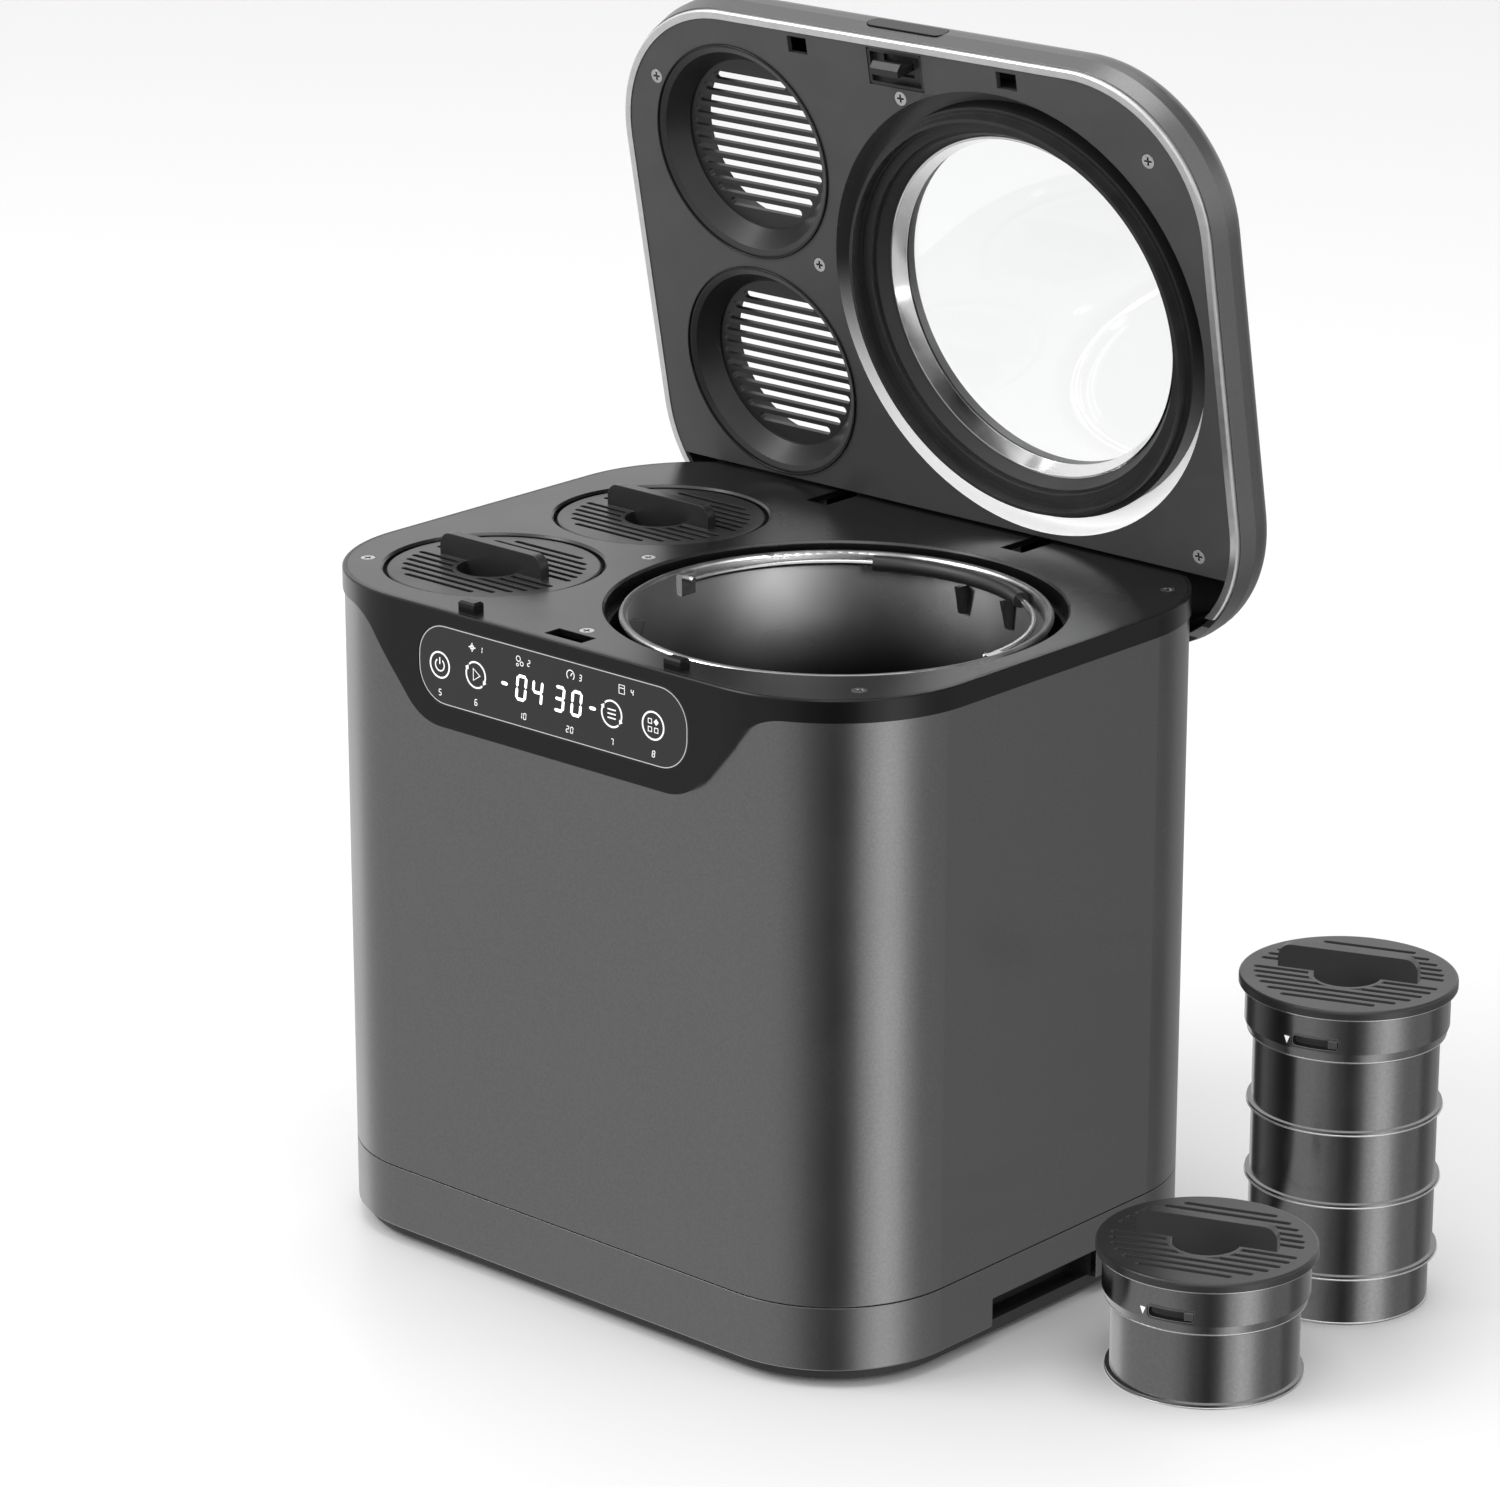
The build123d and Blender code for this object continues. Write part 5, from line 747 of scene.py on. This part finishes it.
def draw_turning_arrows(ink, centre):
    """Two arcs that chase each other round a key."""
    for turn in (0, 180):
        start, end = (turn + angle for angle in ARROW_LINE)
        ink.stroke(arc(centre, KEY_R, start, end, ARROW_STEPS), KEY_LINE)
        tip = Vector(polar(centre, KEY_R, turn + ARROW_TIP))
        heel = Vector(polar(centre, KEY_R, turn + ARROW_HEEL))
        side = Vector((tip.y - heel.y, heel.x - tip.x)) * ARROW_SPREAD
        ink.area([tip, heel + side, heel - side])


def draw_keys(ink):
    """The round keys: power, a triangle, three bars and a menu of tiles."""
    draw_power_key(ink, (POWER_X, KEY_Z))
    draw_turning_arrows(ink, (TURN_X, KEY_Z))
    ink.stroke(TRIANGLE, SIGN_LINE, closed=True)
    draw_turning_arrows(ink, (STEPS_X, KEY_Z))
    for step in (-1, 0, 1):
        ink.stroke([(x, KEY_Z + STEP_PITCH * step) for x in STEP_SPAN], SIGN_LINE)
    ink.ring((MENU_X, KEY_Z), MENU_KEY_R, KEY_LINE)
    for x, z in TILES:
        tile = [(x - 1, z - 1), (x + 1, z - 1), (x + 1, z + 1), (x - 1, z + 1)]
        ink.stroke(tile, TILE_LINE, closed=True)
    ink.area(DIAMOND)


def draw_signs(ink):
    """The small signs above the display: spark, bubbles, gauge and filter box."""
    for angle in range(0, 360, 45):
        reach = SPARK_LONG if angle % 90 == 0 else SPARK_SHORT
        ray = [polar(SPARK_AT, radius, angle) for radius in (SPARK_HUB, reach)]
        ink.stroke(ray, SPARK_LINE)
    for bubble in BUBBLES:
        ink.ring(*bubble)
    ink.stroke(arc(GAUGE_AT, *GAUGE_ARC), GAUGE_LINE)
    ink.stroke(GAUGE_HAND, HAND_LINE)
    ink.stroke(FILTER_BOX, BOX_LINE, closed=True)
    ink.stroke(FILTER_BOX_BAR, BAR_LINE)
    draw_small_numbers(ink, SIGN_NUMBERS)
    draw_small_numbers(ink, KEY_NUMBERS)


def print_panel():
    """The grey border, white print and lit figures on the touch panel."""
    border = Print()
    border.stroke(rounded_outline(PANEL_CENTRE, PANEL_SIZE, PANEL_CORNER), BORDER_LINE, closed=True)
    border.finish("touch_panel_border", "print_grey")
    ink = Print()
    draw_keys(ink)
    draw_signs(ink)
    ink.finish("touch_panel_print", "print_white_painted_glow")
    light = Print()
    for text, x, size, width, gap in DISPLAY_FIGURES:
        draw_number(light, text, (x, DISPLAY_Z), size, width, gap)
    light.finish("display_figures", "digit_light")


# ---------------------------------------------------------------- thin rings round edges, as painted shade and painted highlight

EDGE_R = 0.38
EDGE_STEPS = 96
EDGE_SIDES = 8
# The filter mouths, as they lie on the shut lid.
WELL_SPOTS = ((-97.9, -70.9), (-97.9, 37.8))
WELL_MOUTH_R = 51.4
MOUTH_LINE_R = 0.5
LID_FACE_Z = 312.0


def add_ring(bm, middle, radius, z, section=EDGE_R):
    """A thin round ring that lies flat, in millimetres."""
    rows = []
    for step in range(EDGE_STEPS):
        turn = 2 * math.pi * step / EDGE_STEPS
        row = []
        for side in range(EDGE_SIDES):
            roll = 2 * math.pi * side / EDGE_SIDES
            reach = radius + section * math.cos(roll)
            place = (
                middle[0] + reach * math.cos(turn),
                middle[1] + reach * math.sin(turn),
                z + section * math.sin(roll),
            )
            row.append(bm.verts.new(Vector(place) * MM))
        rows.append(row)
    for step in range(EDGE_STEPS):
        for side in range(EDGE_SIDES):
            row, after = rows[step], rows[(step + 1) % EDGE_STEPS]
            up = (side + 1) % EDGE_SIDES
            face = bm.faces.new((row[side], after[side], after[up], row[up]))
            face.smooth = True


def mouth_lines():
    """A thin black ring round each filter mouth in the open lid's panel, as painted shade at the
    mouth's edge.
    """
    bm = bmesh.new()
    for spot in WELL_SPOTS:
        add_ring(bm, spot, WELL_MOUTH_R, LID_FACE_Z, section=MOUTH_LINE_R)
    for vert in bm.verts:
        vert.co = swing(vert.co / MM, -LID_OPEN) * MM
    add_piece("filter_mouth_painted_shade", bm, "gloss_black", "lid")


# ---------------------------------------------------------------- painted edge highlights and marks of the canisters

CAN_R = 41.0
CAN_BEAD_R = 43.0
CAN_H = 34.0
CUP_R = 39.5
CUP_LEAST_H = 1.0
FLANGE_R = 47.5
SKIRT_R = 45.0
SKIRT_LOW_R = 43.4
SPARE_HEADING = -72.0
WELL_HEADING = -93.0

# The lock window in a cap's skirt, the backing seen through it, and the pointer beside it.
WINDOW_DROP = 13.2
WINDOW_SIZE = (22.4, 6.0)
WINDOW_CORNER = 2.0
FRAME_LINE = 0.55
FRAME_DEPTH = 0.35
LONGEST_SIDE = 1.5
BACKING_SIZE = (24.0, 6.0)
BACKING_STEPS = 16
BACKING_LIFT = 0.15
BACKING_DEPTH = 0.15
POINTER = ((0.0, 1.0), (1.4, -2.3), (2.8, 1.0))
POINTER_ASIDE = 3.6
POINTER_DEPTH = 0.18


def between(points):
    """A closed outline with its long sides divided."""
    divided = []
    for start, end in zip(points, points[1:] + points[:1]):
        count = max(1, math.ceil(math.dist(start, end) / LONGEST_SIDE))
        for step in range(count):
            share = step / count
            x = start[0] + (end[0] - start[0]) * share
            z = start[1] + (end[1] - start[1]) * share
            divided.append((x, z))
    return divided


def add_canister_edge_highlights(name, body):
    """Thin light rings along a canister's rolled edges as painted highlights: its cap's, each can's
    and the cup's.
    """
    x, y, plate_z = cap_place(name)
    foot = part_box(name + "_cans")[0].z / MM
    cap_highlight_rings = bmesh.new()
    if name in SPARE_CANISTERS:
        add_ring(cap_highlight_rings, (x, y), FLANGE_R, plate_z - EDGE_R / 2)
    add_ring(cap_highlight_rings, (x, y), SKIRT_LOW_R, plate_z - SKIRT_H + 2 * EDGE_R)
    add_piece(name + "_cap_highlight_rings", cap_highlight_rings, "edge_painted_highlight", body + "_cap")
    can_highlight_rings = bmesh.new()
    stack = plate_z - SKIRT_H - foot
    cans = int((stack + CUP_LEAST_H) // CAN_H)
    cup = stack - cans * CAN_H
    for index in range(cans):
        add_ring(can_highlight_rings, (x, y), CAN_BEAD_R, foot + cup + index * CAN_H + EDGE_R)
    if cup > CUP_LEAST_H:
        add_ring(can_highlight_rings, (x, y), CUP_R, foot + 2.5 * EDGE_R)
    add_piece(name + "_can_highlight_rings", can_highlight_rings, "edge_painted_highlight", body)


def add_lock_window(name, body):
    """The frame, backing and pointer of a canister's lock window."""
    x, y, plate_z = cap_place(name)
    spot = (x, y, plate_z - WINDOW_DROP)
    heading = SPARE_HEADING if name in SPARE_CANISTERS else WELL_HEADING
    cap_body = body + "_cap"
    outline = between(rounded_outline((0.0, 0.0), WINDOW_SIZE, WINDOW_CORNER))
    edge = Print()
    edge.stroke(outline, FRAME_LINE, closed=True)
    edge.wrap(name + "_lock_frame", "rim_steel", spot, SKIRT_R, heading, cap_body, FRAME_DEPTH)
    backing = Print()
    half = BACKING_SIZE[1] / 2
    for step in range(BACKING_STEPS):
        start = BACKING_SIZE[0] * (step / BACKING_STEPS - 0.5)
        end = BACKING_SIZE[0] * ((step + 1) / BACKING_STEPS - 0.5)
        backing.area([(start, -half), (end, -half), (end, half), (start, half)])
    radius = CAN_R + BACKING_LIFT
    backing.wrap(
        name + "_lock_backing", "black_plastic", spot, radius, heading, body, BACKING_DEPTH
    )
    pointer = Print()
    left = -WINDOW_SIZE[0] / 2 - POINTER_ASIDE
    pointer.area([(left + x, z) for x, z in POINTER])
    # The pointer takes the white print's painted glow.
    pointer.wrap(name + "_pointer", "print_white_painted_glow", spot, SKIRT_R, heading, cap_body, POINTER_DEPTH)


make_camera()
make_world()
make_light()
make_floor()
dress_nodes()
print_panel()
mouth_lines()
for canister in CANISTERS:
    canister_body = canister.replace("_filter", "_canister")
    add_canister_edge_highlights(canister, canister_body)
    add_lock_window(canister, canister_body)
